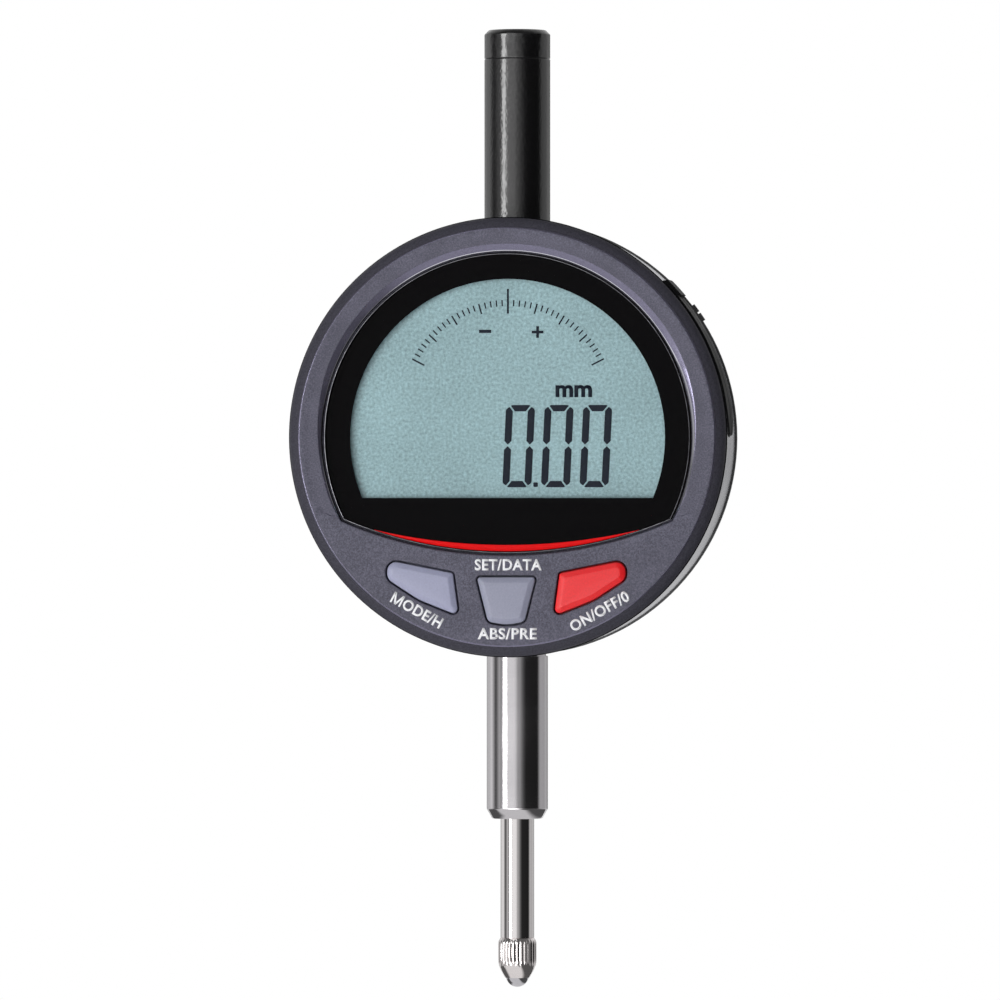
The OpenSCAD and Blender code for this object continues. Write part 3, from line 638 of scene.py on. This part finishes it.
def front_cover():
    """Ring and apron in one skin: rim, bevelled window, button openings, mask pocket and screw bosses."""
    s = Shell(in_head)
    count = 252

    # Radius, and depth behind the face.
    rim = [
        (RING_R, 0.0), (26.95, 0.008), (27.03, 0.045), (27.09, 0.11), (27.13, 0.17), (27.28, 0.25),
        (27.6, 0.42), (27.88, 0.61), (28.1, 0.83), (28.27, 1.08), (28.39, 1.33), (28.46, 1.56),
        (28.5, 1.74), (28.5, 1.82), (28.43, 1.89), (26.55, 1.89), (26.5, 1.94), (26.5, 3.3), (25.0, 3.3),
        (25.0, 2.0),
    ]
    first, last = s.stack([at(circle(r, count), FACE - d) for r, d in rim])
    # Rim rows: a thin painted highlight line where the flat meets the rim, the roundover darkened as painted
    # shade, and a near-black painted shadow line over its back.
    for start, end, paint in ((1, 4, BEVEL), (4, 10, RIM), (10, 15, PAINTED_SHADOW)):
        s.slots[start * count : end * count] = [paint] * ((end - start) * count)

    points, normals = window_outline(WINDOW_R, WINDOW_BOTTOM)
    step = 1.557  # degrees from one point of the circle to the next
    # 1 where the wide bevel runs, down to 0 at the window's lower corners and along its arc.
    ring = [
        smooth(0.5, 9, step * min(i, WINDOW_OVER - i)) if i < WINDOW_OVER else 0.0
        for i in range(len(points))
    ]

    def window_loop(k):
        """Loop k of the edge round the window: a wide bevel on the ring, a small radius on the apron.

        The sections run inward, by distance outside the window's outline and depth behind the face.
        """
        narrow = [(0.24, 0.0), (0.15, 0.004), (0.08, 0.03), (0.025, 0.085), (0.0, 0.16)]
        by, low, flat = [], [], []
        for t, (x, y) in zip(ring, points):
            a = math.atan2(y, x)
            width = 0.35 + 0.6 * smooth(-0.25, 0.5, math.sin(a))
            # The bright facet widens near three o'clock, where its painted highlight shows.
            edge = 0.08 + 0.2 * smooth(0.86, 1.0, math.cos(a - 0.05))
            drop = (width - edge) * math.tan(BEVEL_ANGLE)
            wide = [
                (width + 0.1, 0.0), (width, 0.0), (width - 0.07, 0.02), (edge, drop),
                (0.0, drop + edge * 0.74),
            ]
            by.append(t * wide[k][0] + (1 - t) * narrow[k][0])
            low.append(t * wide[k][1] + (1 - t) * narrow[k][1])
            flat.append(t * wide[0][0] + (1 - t) * narrow[0][0])
        places = zip(moved(points, normals, by), moved(points, normals, flat), low)
        return [(u, v, cover_height(*f) - d) for (u, v), f, d in places]

    start = len(s.faces)
    window_first, window_last = s.stack([window_loop(k) for k in range(5)])
    # Row 2 takes the bevel material, lightened as painted light, and row 3 the bright painted highlight.
    for k, paint in ((2, BEVEL), (3, EDGE)):
        row = start + k * len(points)
        s.slots[row : row + WINDOW_OVER] = [paint] * WINDOW_OVER
    pocket = s.loop(at(points, POCKET_FLOOR))
    s.bridge(window_last, pocket, MASK)

    buttons = []
    for outline, side in ((side_outline, 1), (middle_outline, 1), (side_outline, -1)):
        # Distance inside the button's outline, and depth behind the face.
        edge = [(-0.22, 0.0), (-0.12, 0.003), (-0.055, 0.03), (-0.015, 0.08), (0.0, 0.15), (0.0, 2.0)]
        buttons.append(s.stack([at(outline(gap, side), FACE - d) for gap, d in edge]))

    # The step from ring to apron beside the window, as two lines on arcs that continue the window's.
    creases = []
    for side in (1, -1):
        for offset in (0.0, 0.12):
            radius = WINDOW_ARC - offset
            line = []
            for r in (24.75, 25.1, 25.5, 25.9, 26.3, 26.6):
                y = (r**2 - radius**2 + CREASE_CENTRE**2) / (2 * CREASE_CENTRE)
                line.append((side * math.sqrt(r * r - y * y), y))
            creases.append(line)
    dish = [
        p
        for r in (25.65, 26.0, 26.4)
        for p in circle(r, 180)
        if math.hypot(p[0], p[1] - CREASE_CENTRE) < WINDOW_ARC - 0.4
    ]
    s.fill(first, [window_first] + [b[0] for b in buttons], cover_height, dish, creases)

    opening = cut_circle(22.9, 11.3, 120)
    upper, lower = s.stack([at(opening, POCKET_FLOOR), at(opening, APRON_BACK)])
    s.fill(pocket, [upper])
    s.fill(last, [lower] + [b[1] for b in buttons])

    bosses = []
    for angles, circle_r, boss_r, hole_r, length in (
        ((62, 118, 205, 335), 25.2, 1.9, 1.0, 5.0),
        ((90, 172, 345), 24.3, 1.4, 0.6, 4.9),
    ):
        for angle in angles:
            a = math.radians(angle)
            cx, cy = circle_r * math.cos(a), circle_r * math.sin(a)
            reach = min(boss_r, CASE_INNER_R - 0.2 - circle_r)
            boss = Shell(lambda u, v, d, cx=cx, cy=cy: in_head(cx + u, cy + v, d))
            end, root = FACE - length, APRON_BACK + 0.2
            boss.lathe([(hole_r, end), (reach, end), (reach, root), (hole_r, root)], 40)
            bosses.append(boss)
    mask = materials["mask_black"]
    paints = [materials["cover_grey"], cover_bevel_painted_light, cover_edge_highlight, cover_rim_shaded, mask, painted_shadow]
    piece("front_cover_skin", [s, *bosses], paints, "case", ["front_cover"])


front_cover()


# ---------- window and display ----------

LENS_BACK = POCKET_FLOOR + 0.25
LENS_FACE = POCKET_FLOOR + 1.1
LENS_R, LENS_BOTTOM = 23.76, WINDOW_BOTTOM - 0.3
ACCENT_HALF = 17.2  # half the crescent's width
ACCENT_ARCS = ((55.6, 14.76), (76.5, 13.94))  # radius and lowest point of its lower and upper edge
GROOVE = 0.4  # depth of its groove in the lens


def accent_edges(x):
    """Lower and upper edge of the red crescent."""
    return [radius - bottom - math.sqrt(radius**2 - x * x) for radius, bottom in ACCENT_ARCS]


def accent_loop():
    """Closed outline of the groove that holds the crescent."""
    xs = [ACCENT_HALF * (2 * i / 60 - 1) for i in range(61)]
    return [(x, accent_edges(x)[0]) for x in xs] + [(x, accent_edges(x)[1]) for x in reversed(xs)]


def window_lens():
    """Clear lens, with its chamfered edge and sides in the painted highlight material."""
    s = Shell(in_head)
    points, normals = window_outline(LENS_R, LENS_BOTTOM)
    loops = [(0.0, LENS_BACK), (0.0, LENS_FACE - 0.1), (-0.03, LENS_FACE - 0.03), (-0.1, LENS_FACE)]
    bottom, top = s.stack([at(moved(points, normals, [by] * len(points)), d) for by, d in loops], 1)
    s.fill(bottom)
    groove = accent_loop()
    groove_top, groove_low = s.stack([at(groove, LENS_FACE), at(groove, LENS_FACE - GROOVE)])
    s.fill(groove_low)
    s.fill(top, [groove_top])
    piece("window_lens_clear", [s], [lens_clear, lens_edge_highlight], "case", ["window_lens"])


def on_accent(x, t, d):
    """Across the crescent from its lower edge at t 0 to its upper edge at t 1."""
    lower, upper = accent_edges(x)
    return in_head(x, lower * (1 - t) + upper * t, d)


def accent_strip():
    """Red strip with rounded edges, in the lens's groove."""
    s = Shell(on_accent)
    section = [
        (0.0, LENS_FACE - GROOVE), (0.0, LENS_FACE - 0.12), (0.06, LENS_FACE - 0.05), (0.28, LENS_FACE),
        (0.36, LENS_FACE + 0.04), (0.92, LENS_FACE + 0.05), (1.0, LENS_FACE + 0.01),
        (1.0, LENS_FACE - GROOVE),
    ]
    steps = 72
    rings = [
        s.loop([(ACCENT_HALF * (2 * i / steps - 1), t, d) for t, d in section])
        for i in range(steps + 1)
    ]
    for a, b in zip(rings, rings[1:]):
        s.bridge(a, b)
    s.face(rings[0])
    s.face(rings[-1])
    red = [materials["accent_red"]]
    piece("accent_strip_enamel", [s], red, "case", ["accent_strip"], 25)


window_lens()
accent_strip()

LCD_FACE = FACE - 2.2
INK = 0.03  # thickness of print


def solid_shapes(name, outlines, face, mat, place=in_head):
    """Flat convex outlines, each a thin raised solid of print."""
    s = Shell(place)
    for outline in outlines:
        low, high = s.stack([at(outline, face), at(outline, face + INK)])
        s.face(low)
        s.face(high)
    piece(name, [s], [mat], "case", (), 30)


def bar(x0, y0, x1, y1, width):
    """Stroke from one point to another."""
    dx, dy = x1 - x0, y1 - y0
    k = width / 2 / math.hypot(dx, dy)
    nx, ny = -dy * k, dx * k
    return [(x0 + nx, y0 + ny), (x0 - nx, y0 - ny), (x1 - nx, y1 - ny), (x1 + nx, y1 + ny)]


def scale_marks():
    """Analogue scale: a long mark at zero, longer ones at every fifth and at the ends, and the signs."""
    step, outer, centre = 3.15, 14.0, 3.77
    marks = [bar(0, 16.0, 0, 19.2, 0.26)]
    for i in range(-20, 21):
        if i == 0:
            continue
        a = math.radians(step * i)
        c, s = math.sin(a), math.cos(a)
        reach, width = (1.8, 0.2) if abs(i) == 20 else (1.35, 0.2) if i % 5 == 0 else (0.8, 0.17)
        inner = outer - reach
        marks.append(bar(inner * c, centre + inner * s, outer * c, centre + outer * s, width))
    marks.append(bar(-3.77, 13.7, -2.17, 13.7, 0.42))
    marks.append(bar(3.1, 13.6, 4.62, 13.6, 0.36))
    marks.append(bar(3.86, 13.78, 3.86, 14.36, 0.36))
    marks.append(bar(3.86, 13.42, 3.86, 12.84, 0.36))
    return marks


def digit(x0, base):
    """Zero on a seven-segment display: six mitred segments, with its lower left corner at x0, base."""
    wide, high, t, slant = 3.78, 10.65, 0.92, 0.047  # t is the width of a segment
    mid = high / 2 + 0.1
    shapes = []
    for mirror in (False, True):
        for flip in (False, True):
            post = [
                (0, high - 0.72), (0.1, high - 0.5), (0.4, high - 0.27), (0.52, high - 0.3),
                (t, high - 0.8), (t, mid + 0.56), (t / 2, mid + 0.1), (0, mid + 0.56),
            ]
            if flip:
                post = [(x, 2 * mid - y if y < mid + 1 else high - y) for x, y in post]
            if mirror:
                post = [(wide - x, y) for x, y in post]
            shapes.append(post)
    for flip in (False, True):
        beam = [
            (0.62, high - 0.1), (0.8, high), (wide - 0.8, high), (wide - 0.62, high - 0.1),
            (wide - t - 0.26, high - 0.82), (t + 0.26, high - 0.82),
        ]
        if flip:
            beam = [(x, high - y) for x, y in beam]
        shapes.append(beam)
    return [[(x0 + x + slant * y, base + y) for x, y in shape] for shape in shapes]


def readout():
    """Three zeros and the decimal point after the first."""
    shapes = []
    for x0 in (-0.74, 4.28, 9.29):
        shapes += digit(x0, -6.49)
    point = [(3.3, -6.45), (3.9, -6.45), (3.9, -5.85), (3.3, -5.85)]
    shapes.append(rounded(point, [0.15] * 4, 0, 3, 0.1))
    return shapes


solid_shapes("display_scale", scale_marks(), LCD_FACE, ink_dark)
solid_shapes("display_readout", readout(), LCD_FACE, ink_dark)


def lettering(name, text, centre, width, height, face, mat, turn, weight, spacing=1.0):
    """Plain sans lettering as a thin raised mesh, scaled to a width and height and turned by degrees."""
    curve = bpy.data.curves.new(name, "FONT")
    curve.body = text
    curve.offset = weight
    curve.space_character = spacing
    curve.resolution_u = 4
    made = bpy.data.objects.new(name + "_curve", curve)
    bpy.context.scene.collection.objects.link(made)
    shaped = made.evaluated_get(bpy.context.evaluated_depsgraph_get())
    mesh = bpy.data.meshes.new_from_object(shaped)
    bpy.data.objects.remove(made)
    bm = bmesh.new()
    bm.from_mesh(mesh)
    bmesh.ops.remove_doubles(bm, verts=bm.verts, dist=1e-5)
    xs, ys = [v.co.x for v in bm.verts], [v.co.y for v in bm.verts]
    low_x, low_y = min(xs), min(ys)
    kx, ky = width / (max(xs) - low_x), height / (max(ys) - low_y)
    c, s = math.cos(math.radians(turn)), math.sin(math.radians(turn))
    top = bmesh.ops.extrude_face_region(bm, geom=bm.faces[:])["geom"]
    raised = {v for v in top if isinstance(v, bmesh.types.BMVert)}
    for v in bm.verts:
        x, y = (v.co.x - low_x) * kx - width / 2, (v.co.y - low_y) * ky - height / 2
        depth = face + (INK if v in raised else -0.01)
        v.co = in_head(centre[0] + x * c - y * s, centre[1] + x * s + y * c, depth)
    bmesh.ops.recalc_face_normals(bm, faces=bm.faces)
    # The extrusion gives its faces in no fixed order, so they are put in one.
    in_order = sorted(bm.faces, key=lambda f: [round(x, 8) for x in f.calc_center_median()])
    for i, f in enumerate(in_order):
        f.index = i
    bm.faces.sort()
    bm.to_mesh(mesh)
    bm.free()
    mesh.name = name
    mesh.materials.clear()
    mesh.materials.append(mat)
    link(name, mesh, "case", ())


lettering("display_unit", "mm", (8.56, 5.95), 4.75, 1.58, LCD_FACE, ink_dark, 0, 0.035)

MODE_TURN, POWER_TURN = -29, 29.6  # slant of the labels beside the buttons, degrees
for name, text, centre, width, turn in (
    ("label_set_data", "SET/DATA", (0.26, -16.5), 8.7, 0),
    ("label_abs_pre", "ABS/PRE", (0.14, -25.4), 7.7, 0),
    ("label_mode", "ODE/H", (-10.87, -22.8), 5.63, MODE_TURN),
    ("label_power", "ON/OFF/0", (12.1, -22.5), 8.5, POWER_TURN),
):
    lettering(name, text, centre, width, 1.5, FACE, ink_white, turn, 0.028, 1.05)


def on_mode_label(u, v, d):
    """Along the slant of the mode button's label."""
    c, s = math.cos(math.radians(MODE_TURN)), math.sin(math.radians(MODE_TURN))
    return in_head(-11.6 + u * c - v * s, -22.4 + u * s + v * c, d)


# The first letter of the mode label, stroke by stroke.
solid_shapes(
    "label_mode_initial",
    [
        bar(-3.54, -0.75, -3.54, 0.75, 0.23),
        bar(-3.5, 0.72, -2.92, -0.72, 0.24),
        bar(-2.92, -0.72, -2.34, 0.72, 0.24),
        bar(-2.3, -0.75, -2.3, 0.75, 0.23),
    ],
    FACE, ink_white, on_mode_label,
)


# ---------- buttons ----------


def button(node, outline, side, switch, slot):
    """Cap with a rounded shoulder and a faintly crowned face, over a flange and a stalk."""
    s = Shell(in_head)
    flange_back, flange_front = FACE - 2.6, FACE - 2.1
    # Distance inside the button's outline, and height.
    profile = [
        (-0.4, flange_back), (-0.4, flange_front), (0.2, flange_front), (0.2, FACE - 0.1),
        (0.215, FACE + 0.03), (0.26, FACE + 0.11), (0.35, FACE + 0.17), (0.84, FACE + 0.4),
        (0.93, FACE + 0.43), (1.04, FACE + 0.44),
    ]
    bottom, shoulder = s.stack([at(outline(gap, side), d) for gap, d in profile])
    s.face(bottom)
    plateau = outline(1.2, side)
    cx = sum(p[0] for p in plateau) / len(plateau)
    cy = sum(p[1] for p in plateau) / len(plateau)
    rings = [shoulder]
    # How far in towards the middle, and height above the face.
    for t, d in ((0.0, 0.448), (0.3, 0.46), (0.6, 0.475), (0.85, 0.485), (1.0, 0.49)):
        loop = [(p[0] * (1 - t) + cx * t, p[1] * (1 - t) + cy * t) for p in plateau]
        rings.append(s.loop(at(loop if t < 1 else loop[:1], FACE + d)))
    for a, b in zip(rings, rings[1:]):
        s.bridge(a, b)
    stalk = Shell(lambda u, v, d: in_head(switch[0] + u, switch[1] + v, d))
    tip, end, root = FACE - 3.55, FACE - 3.49, flange_back + 0.1
    profile = [(0, tip), (0.65, tip), (0.7, end), (1.3, end), (1.4, end + 0.1), (1.4, root), (0, root)]
    stalk.lathe(profile, 40, closed=False)
    piece(node + "_cap", [s, stalk], [materials[slot]], node, [node], 28)


button("mode_button", side_outline, 1, (-SIDE_SWITCH[0], SIDE_SWITCH[1]), "button_lilac")
button("set_button", middle_outline, 1, MIDDLE_SWITCH, "button_grey")
button("power_button", side_outline, -1, SIDE_SWITCH, "button_red")


# ---------- stem, tube and spindle ----------


def turned_piece(name, profile, mat, body, node, count=160):
    """Turned solid in place of one CAD node."""
    s = Shell(on_axis)
    s.lathe(profile, count)
    piece(name, [s], [mat], body, [node])


def stem():
    """Mounting stem, tapered at its tip and stepped where it goes into the case."""
    low, top = STEM_LOW, STEM_HIGH
    turned_piece(
        "stem_turned",
        [
            (2.8, low + 0.06), (2.86, low), (3.22, low), (3.3, low + 0.05), (3.96, -10.07), (4.0, -9.97),
            (4.0, -9.8), (4.0, 9.9), (3.98, 9.98), (3.9, 10.0), (3.75, 10.0), (3.75, 10.8), (3.5, 10.8),
            (3.5, top - 0.1), (3.4, top), (2.8, top),
        ],
        materials["stem_steel"], "case", "stem",
    )


def tube():
    """Upper spindle tube, with the shoulder that stands on the case."""
    low, top, shoulder = TUBE_LOW, TUBE_HIGH, 66.2
    turned_piece(
        "spindle_tube_enamel",
        [
            (2.8, low), (3.5, low), (3.5, shoulder), (4.22, shoulder), (4.3, shoulder + 0.08),
            (4.3, top - 0.13), (4.28, top - 0.07), (4.2, top), (2.8, top),
        ],
        materials["tube_black"], "case", "spindle_tube",
    )


def cap():
    """Cap of the upper tube: a plug inside it and a chamfered head above a fine seam."""
    low, seam, top = CAP_LOW, TUBE_HIGH, CAP_HIGH
    turned_piece(
        "tube_cap_enamel",
        [
            (0, low), (2.75, low), (2.8, low + 0.05), (2.8, seam), (4.2, seam), (4.28, seam + 0.07),
            (4.3, seam + 0.13), (4.3, top - 0.66), (4.27, top - 0.57), (3.76, top - 0.06),
            (3.66, top - 0.02), (3.4, top), (0, top),
        ],
        cap_enamel, "case", "tube_cap",
    )


def spindle():
    """Ground rod, bored below for the contact's thread."""
    low, top = SPINDLE_LOW, SPINDLE_HIGH
    bore = 1.25
    turned_piece(
        "spindle_ground",
        [
            (0, low + 5.6), (bore, low + 5.0), (bore, low), (2.12, low), (2.2, low + 0.08), (2.2, top - 0.3),
            (1.9, top), (0, top),
        ],
        materials["spindle_steel"], "spindle", "spindle", 128,
    )


def contact():
    """Knurled collar that runs into an ogive and holds the ball."""
    top = SPINDLE_LOW
    radius = 1.5  # of the ball
    ball_z = BALL_LOW + radius
    grooves, per = 28, 8
    count = grooves * per
    s = Shell(on_axis)
    # Radius, height, and how deep the knurl cuts.
    rows = [
        (1.25, top + 4.8, 0), (1.25, top, 0), (2.2, top, 0), (2.3, top - 0.16, 0),
        (2.42, top - 0.36, 0.06), (2.49, top - 0.56, 0.1), (2.5, top - 0.8, 0.13),
        (2.5, top - 1.6, 0.13), (2.5, top - 2.4, 0.13), (2.5, top - 2.9, 0.12),
        (2.475, top - 3.2, 0.09), (2.43, top - 3.42, 0.05), (2.38, top - 3.6, 0),
        (2.26, ball_z + 0.98, 0), (2.1, ball_z + 0.62, 0), (1.9, ball_z + 0.25, 0),
        (1.7, ball_z - 0.08, 0), (1.58, ball_z - 0.28, 0), (1.5, ball_z - 0.3, 0),
        (1.44, ball_z - 0.24, 0),
    ]
    rings = [s.loop([(0, 0, top + 4.9)])]
    for r, z, depth in rows:
        loop = []
        for i in range(count):
            wave = 0.5 - 0.5 * math.cos(math.tau * i / per)
            reach = r - depth * (1 - wave) ** 2
            a = math.tau * i / count
            loop.append((reach * math.cos(a), reach * math.sin(a), z))
        rings.append(s.loop(loop))
    rings.append(s.loop([(0, 0, ball_z + 0.4)]))
    for a, b in zip(rings, rings[1:]):
        s.bridge(a, b)
    steel = [materials["contact_steel"]]
    piece("contact_point_knurled", [s], steel, "spindle", ["contact_point"], 40)

    ball = Shell(on_axis)
    steps = 40
    profile = [(0, ball_z - radius)]
    for i in range(1, steps):
        a = math.pi * i / steps
        profile.append((radius * math.sin(a), ball_z - radius * math.cos(a)))
    ball.lathe([*profile, (0, ball_z + radius)], 72, closed=False)
    piece("contact_ball_lapped", [ball], [materials["ball"]], "spindle", ["contact_ball"])


def spring():
    """Round wire helix between the CAD spring's ends. The real spring shortens as the spindle rises; this
    mesh keeps one length.
    """
    coils, wire, mean = 11, 0.25, 2.9  # turns, radius of the wire and of the coil
    per, sides = 40, 10  # steps along a turn and round the wire
    s = Shell(on_axis)
    rings = []
    total = coils * per
    low, high = SPRING_LOW + wire, SPRING_HIGH - wire
    for i in range(total + 1):
        t = i / total
        a = math.tau * coils * t
        z = low + (high - low) * t
        ring = []
        for j in range(sides):
            b = math.tau * j / sides
            r = mean + wire * math.cos(b)
            ring.append((r * math.cos(a), r * math.sin(a), z + wire * math.sin(b)))
        rings.append(s.loop(ring))
    for a, b in zip(rings, rings[1:]):
        s.bridge(a, b)
    s.face(rings[0])
    s.face(rings[-1])
    steel = [materials["spring_steel"]]
    obj = piece("return_spring_wire", [s], steel, "case", ["return_spring"], 50)
    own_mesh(obj)


stem()
tube()
cap()
spindle()
contact()
spring()


# ---------- camera, floor and light ----------

CAMERA_AZIMUTH = math.radians(5.8)
VIEW_WIDTH = 130.77  # what the picture's width covers at the stem axis
AIM_LEFT, AIM_Z = 2.27, 30.365  # the picture's middle, left of the stem axis and above the origin
DISTANCE = 1200.0


def camera():
    """Level, a little to the right of straight in front."""
    right = Vector((math.cos(CAMERA_AZIMUTH), math.sin(CAMERA_AZIMUTH), 0))
    back = Vector((math.sin(CAMERA_AZIMUTH), -math.cos(CAMERA_AZIMUTH), 0))
    aim = (Vector((0, 0, AIM_Z)) - right * AIM_LEFT) * MM
    data = bpy.data.cameras.new("camera")
    data.sensor_width = 36.0
    data.lens = data.sensor_width * DISTANCE / VIEW_WIDTH
    data.clip_start, data.clip_end = 0.05, 60.0
    obj = bpy.data.objects.new("camera", data)
    bpy.context.scene.collection.objects.link(obj)
    obj.location = aim + back * DISTANCE * MM
    obj.rotation_mode = "QUATERNION"
    obj.rotation_quaternion = (-back).to_track_quat("-Z", "Y")
    bpy.context.scene.camera = obj


def floor():
    """Paper that the camera sees as nearly white, and that the metals see as a pattern of light."""
    mesh = bpy.data.meshes.new("floor")
    side, z = 1.4, -0.5
    corners = [(-side, -side, z), (side, -side, z), (side, side, z), (-side, side, z)]
    mesh.from_pydata(corners, [], [(0, 1, 2, 3)])
    n = Nodes("floor_paper")
    seen = n.add("ShaderNodeLightPath").outputs["Is Camera Ray"]
    paper = n.ramp(n.noise(40, 3.0), (0.3, (0.88, 0.88, 0.88, 1)), (0.7, (0.92, 0.92, 0.92, 1)))
    tint = n.add("ShaderNodeMix", data_type="RGBA")
    inputs = {i.name: i for i in tint.inputs if i.enabled}
    n.tree.links.new(seen, inputs["Factor"])
    n.tree.links.new(paper, inputs["B"])
    inputs["A"].default_value = (0.04, 0.04, 0.04, 1)
    # What the metals see of it: bright in the middle, darker to the right and behind on the left.
    place = n.add("ShaderNodeSeparateXYZ", {"Vector": n.coords}).outputs
    right = n.maths("MULTIPLY_ADD", place["X"], 7.0, -1.75, clamp=True)
    left = n.maths("MULTIPLY_ADD", place["X"], -7.0, -1.75, clamp=True)
    back = n.maths("MULTIPLY_ADD", place["Y"], 7.0, 0.35, clamp=True)
    dark = n.maths("MAXIMUM", right, n.maths("MINIMUM", left, back))
    reflected = n.maths("MULTIPLY_ADD", dark, -0.67, 0.75)
    glow = n.maths("MULTIPLY_ADD", seen, n.maths("SUBTRACT", 0.8, reflected), reflected)
    mesh.materials.append(
        n.wire(
            Base_Color=next(o for o in tint.outputs if o.name == "Result" and o.enabled),
            Roughness=0.9,
            Specular_IOR_Level=0.1,
            Emission_Color=(1, 1, 1, 1),
            Emission_Strength=glow,
        )
    )
    obj = bpy.data.objects.new("floor", mesh)
    bpy.context.scene.collection.objects.link(obj)


# Brightness round the studio at the horizon, by compass angle from the object in degrees:
# 0 is towards the front and positive is to its right.
STUDIO = [
    (-180, 0.55), (-175, 0.12), (-168, 0.12), (-157, 0.5), (-140, 0.62), (-121, 0.7), (-108, 0.9),
    (-98, 0.5), (-86, 0.09), (-80, 0.12), (-65, 0.55), (-57, 0.24), (-53, 0.6), (-34, 0.84),
    (-22, 0.92), (-6, 0.9), (0, 0.76), (7, 0.4), (16, 0.36), (22, 0.19), (30, 0.07), (38, 0.02),
    (89, 0.015), (97, 0.36), (103, 0.5), (126, 0.46), (143, 0.58), (157, 0.4), (167, 0.1),
    (171, 0.55), (180, 0.55),
]
GLOW_AIM = (-0.3, -0.93, -0.2)  # towards the soft light in front, low on the left
LIGHT_AIM = Vector((0, 0, 0.03))


def studio():
    """World light: the ramp round the horizon, a soft glow above and below it. The camera sees white."""
    world = bpy.data.worlds.new("studio")
    bpy.context.scene.world = world
    world.use_nodes = True
    tree = world.node_tree
    tree.nodes.clear()
    new, join = tree.nodes.new, tree.links.new

    def maths(operation, a, b=None, clamp=False):
        node = new("ShaderNodeMath")
        node.operation, node.use_clamp = operation, clamp
        for i, value in enumerate((a, b)):
            if isinstance(value, bpy.types.NodeSocket):
                join(value, node.inputs[i])
            elif value is not None:
                node.inputs[i].default_value = value
        return node.outputs[0]

    parts = new("ShaderNodeSeparateXYZ")
    join(new("ShaderNodeTexCoord").outputs["Generated"], parts.inputs[0])
    compass = maths("ARCTAN2", parts.outputs["X"], maths("MULTIPLY", parts.outputs["Y"], -1.0))
    ramp = new("ShaderNodeValToRGB")
    while len(ramp.color_ramp.elements) < len(STUDIO):
        ramp.color_ramp.elements.new(0.5)
    for element, (angle, value) in zip(ramp.color_ramp.elements, STUDIO):
        element.position = angle / 360 + 0.5
        element.color = (value, value, value, 1)
    join(maths("ADD", maths("DIVIDE", compass, math.tau), 0.5), ramp.inputs["Fac"])
    height = maths("MULTIPLY", maths("SUBTRACT", maths("ABSOLUTE", parts.outputs["Z"]), 0.1), 6.0, True)
    aim = new("ShaderNodeVectorMath")
    aim.operation = "DOT_PRODUCT"
    join(parts.inputs[0].links[0].from_socket, aim.inputs[0])
    aim.inputs[1].default_value = GLOW_AIM
    # A lobe round the aim, a wash from behind and a little light from everywhere.
    glow = maths("MULTIPLY", maths("POWER", maths("MAXIMUM", aim.outputs["Value"], 0.0), 8.0), 6.6)
    glow = maths("ADD", glow, maths("MULTIPLY", maths("MAXIMUM", parts.outputs["Y"], 0.0), 0.9))
    glow = maths("ADD", glow, 0.12)
    mix = new("ShaderNodeMix")
    mix.data_type = "RGBA"
    join(height, mix.inputs["Factor"])
    join(ramp.outputs["Color"], mix.inputs["A"])
    join(glow, mix.inputs["B"])
    around, behind = new("ShaderNodeBackground"), new("ShaderNodeBackground")
    join(mix.outputs["Result"], around.inputs["Color"])
    behind.inputs["Color"].default_value = (1, 1, 1, 1)
    switch, out = new("ShaderNodeMixShader"), new("ShaderNodeOutputWorld")
    join(new("ShaderNodeLightPath").outputs["Is Camera Ray"], switch.inputs["Fac"])
    join(around.outputs[0], switch.inputs[1])
    join(behind.outputs[0], switch.inputs[2])
    join(switch.outputs[0], out.inputs["Surface"])


def softbox(name, azimuth, elevation, distance, width, height, radiance):
    """Area light from a compass angle and elevation in degrees. Its lengths are in metres."""
    a, e = math.radians(azimuth), math.radians(elevation)
    towards = Vector((math.sin(a) * math.cos(e), -math.cos(a) * math.cos(e), math.sin(e)))
    data = bpy.data.lights.new(name, "AREA")
    data.shape = "RECTANGLE"
    data.size, data.size_y = width, height
    data.energy = radiance * math.pi * width * height
    obj = bpy.data.objects.new(name, data)
    bpy.context.scene.collection.objects.link(obj)
    obj.location = LIGHT_AIM + towards * distance
    obj.rotation_mode = "QUATERNION"
    obj.rotation_quaternion = (-towards).to_track_quat("-Z", "Y")
    obj.visible_camera = False


camera()
floor()
studio()
softbox("key", -42, 1.5, 0.9, 0.2, 0.4, 7.0)
softbox("overhead", -30, 55, 0.9, 0.4, 0.3, 1.0)
bpy.context.scene.view_settings.view_transform = "Standard"
bpy.context.scene.view_settings.look = "None"
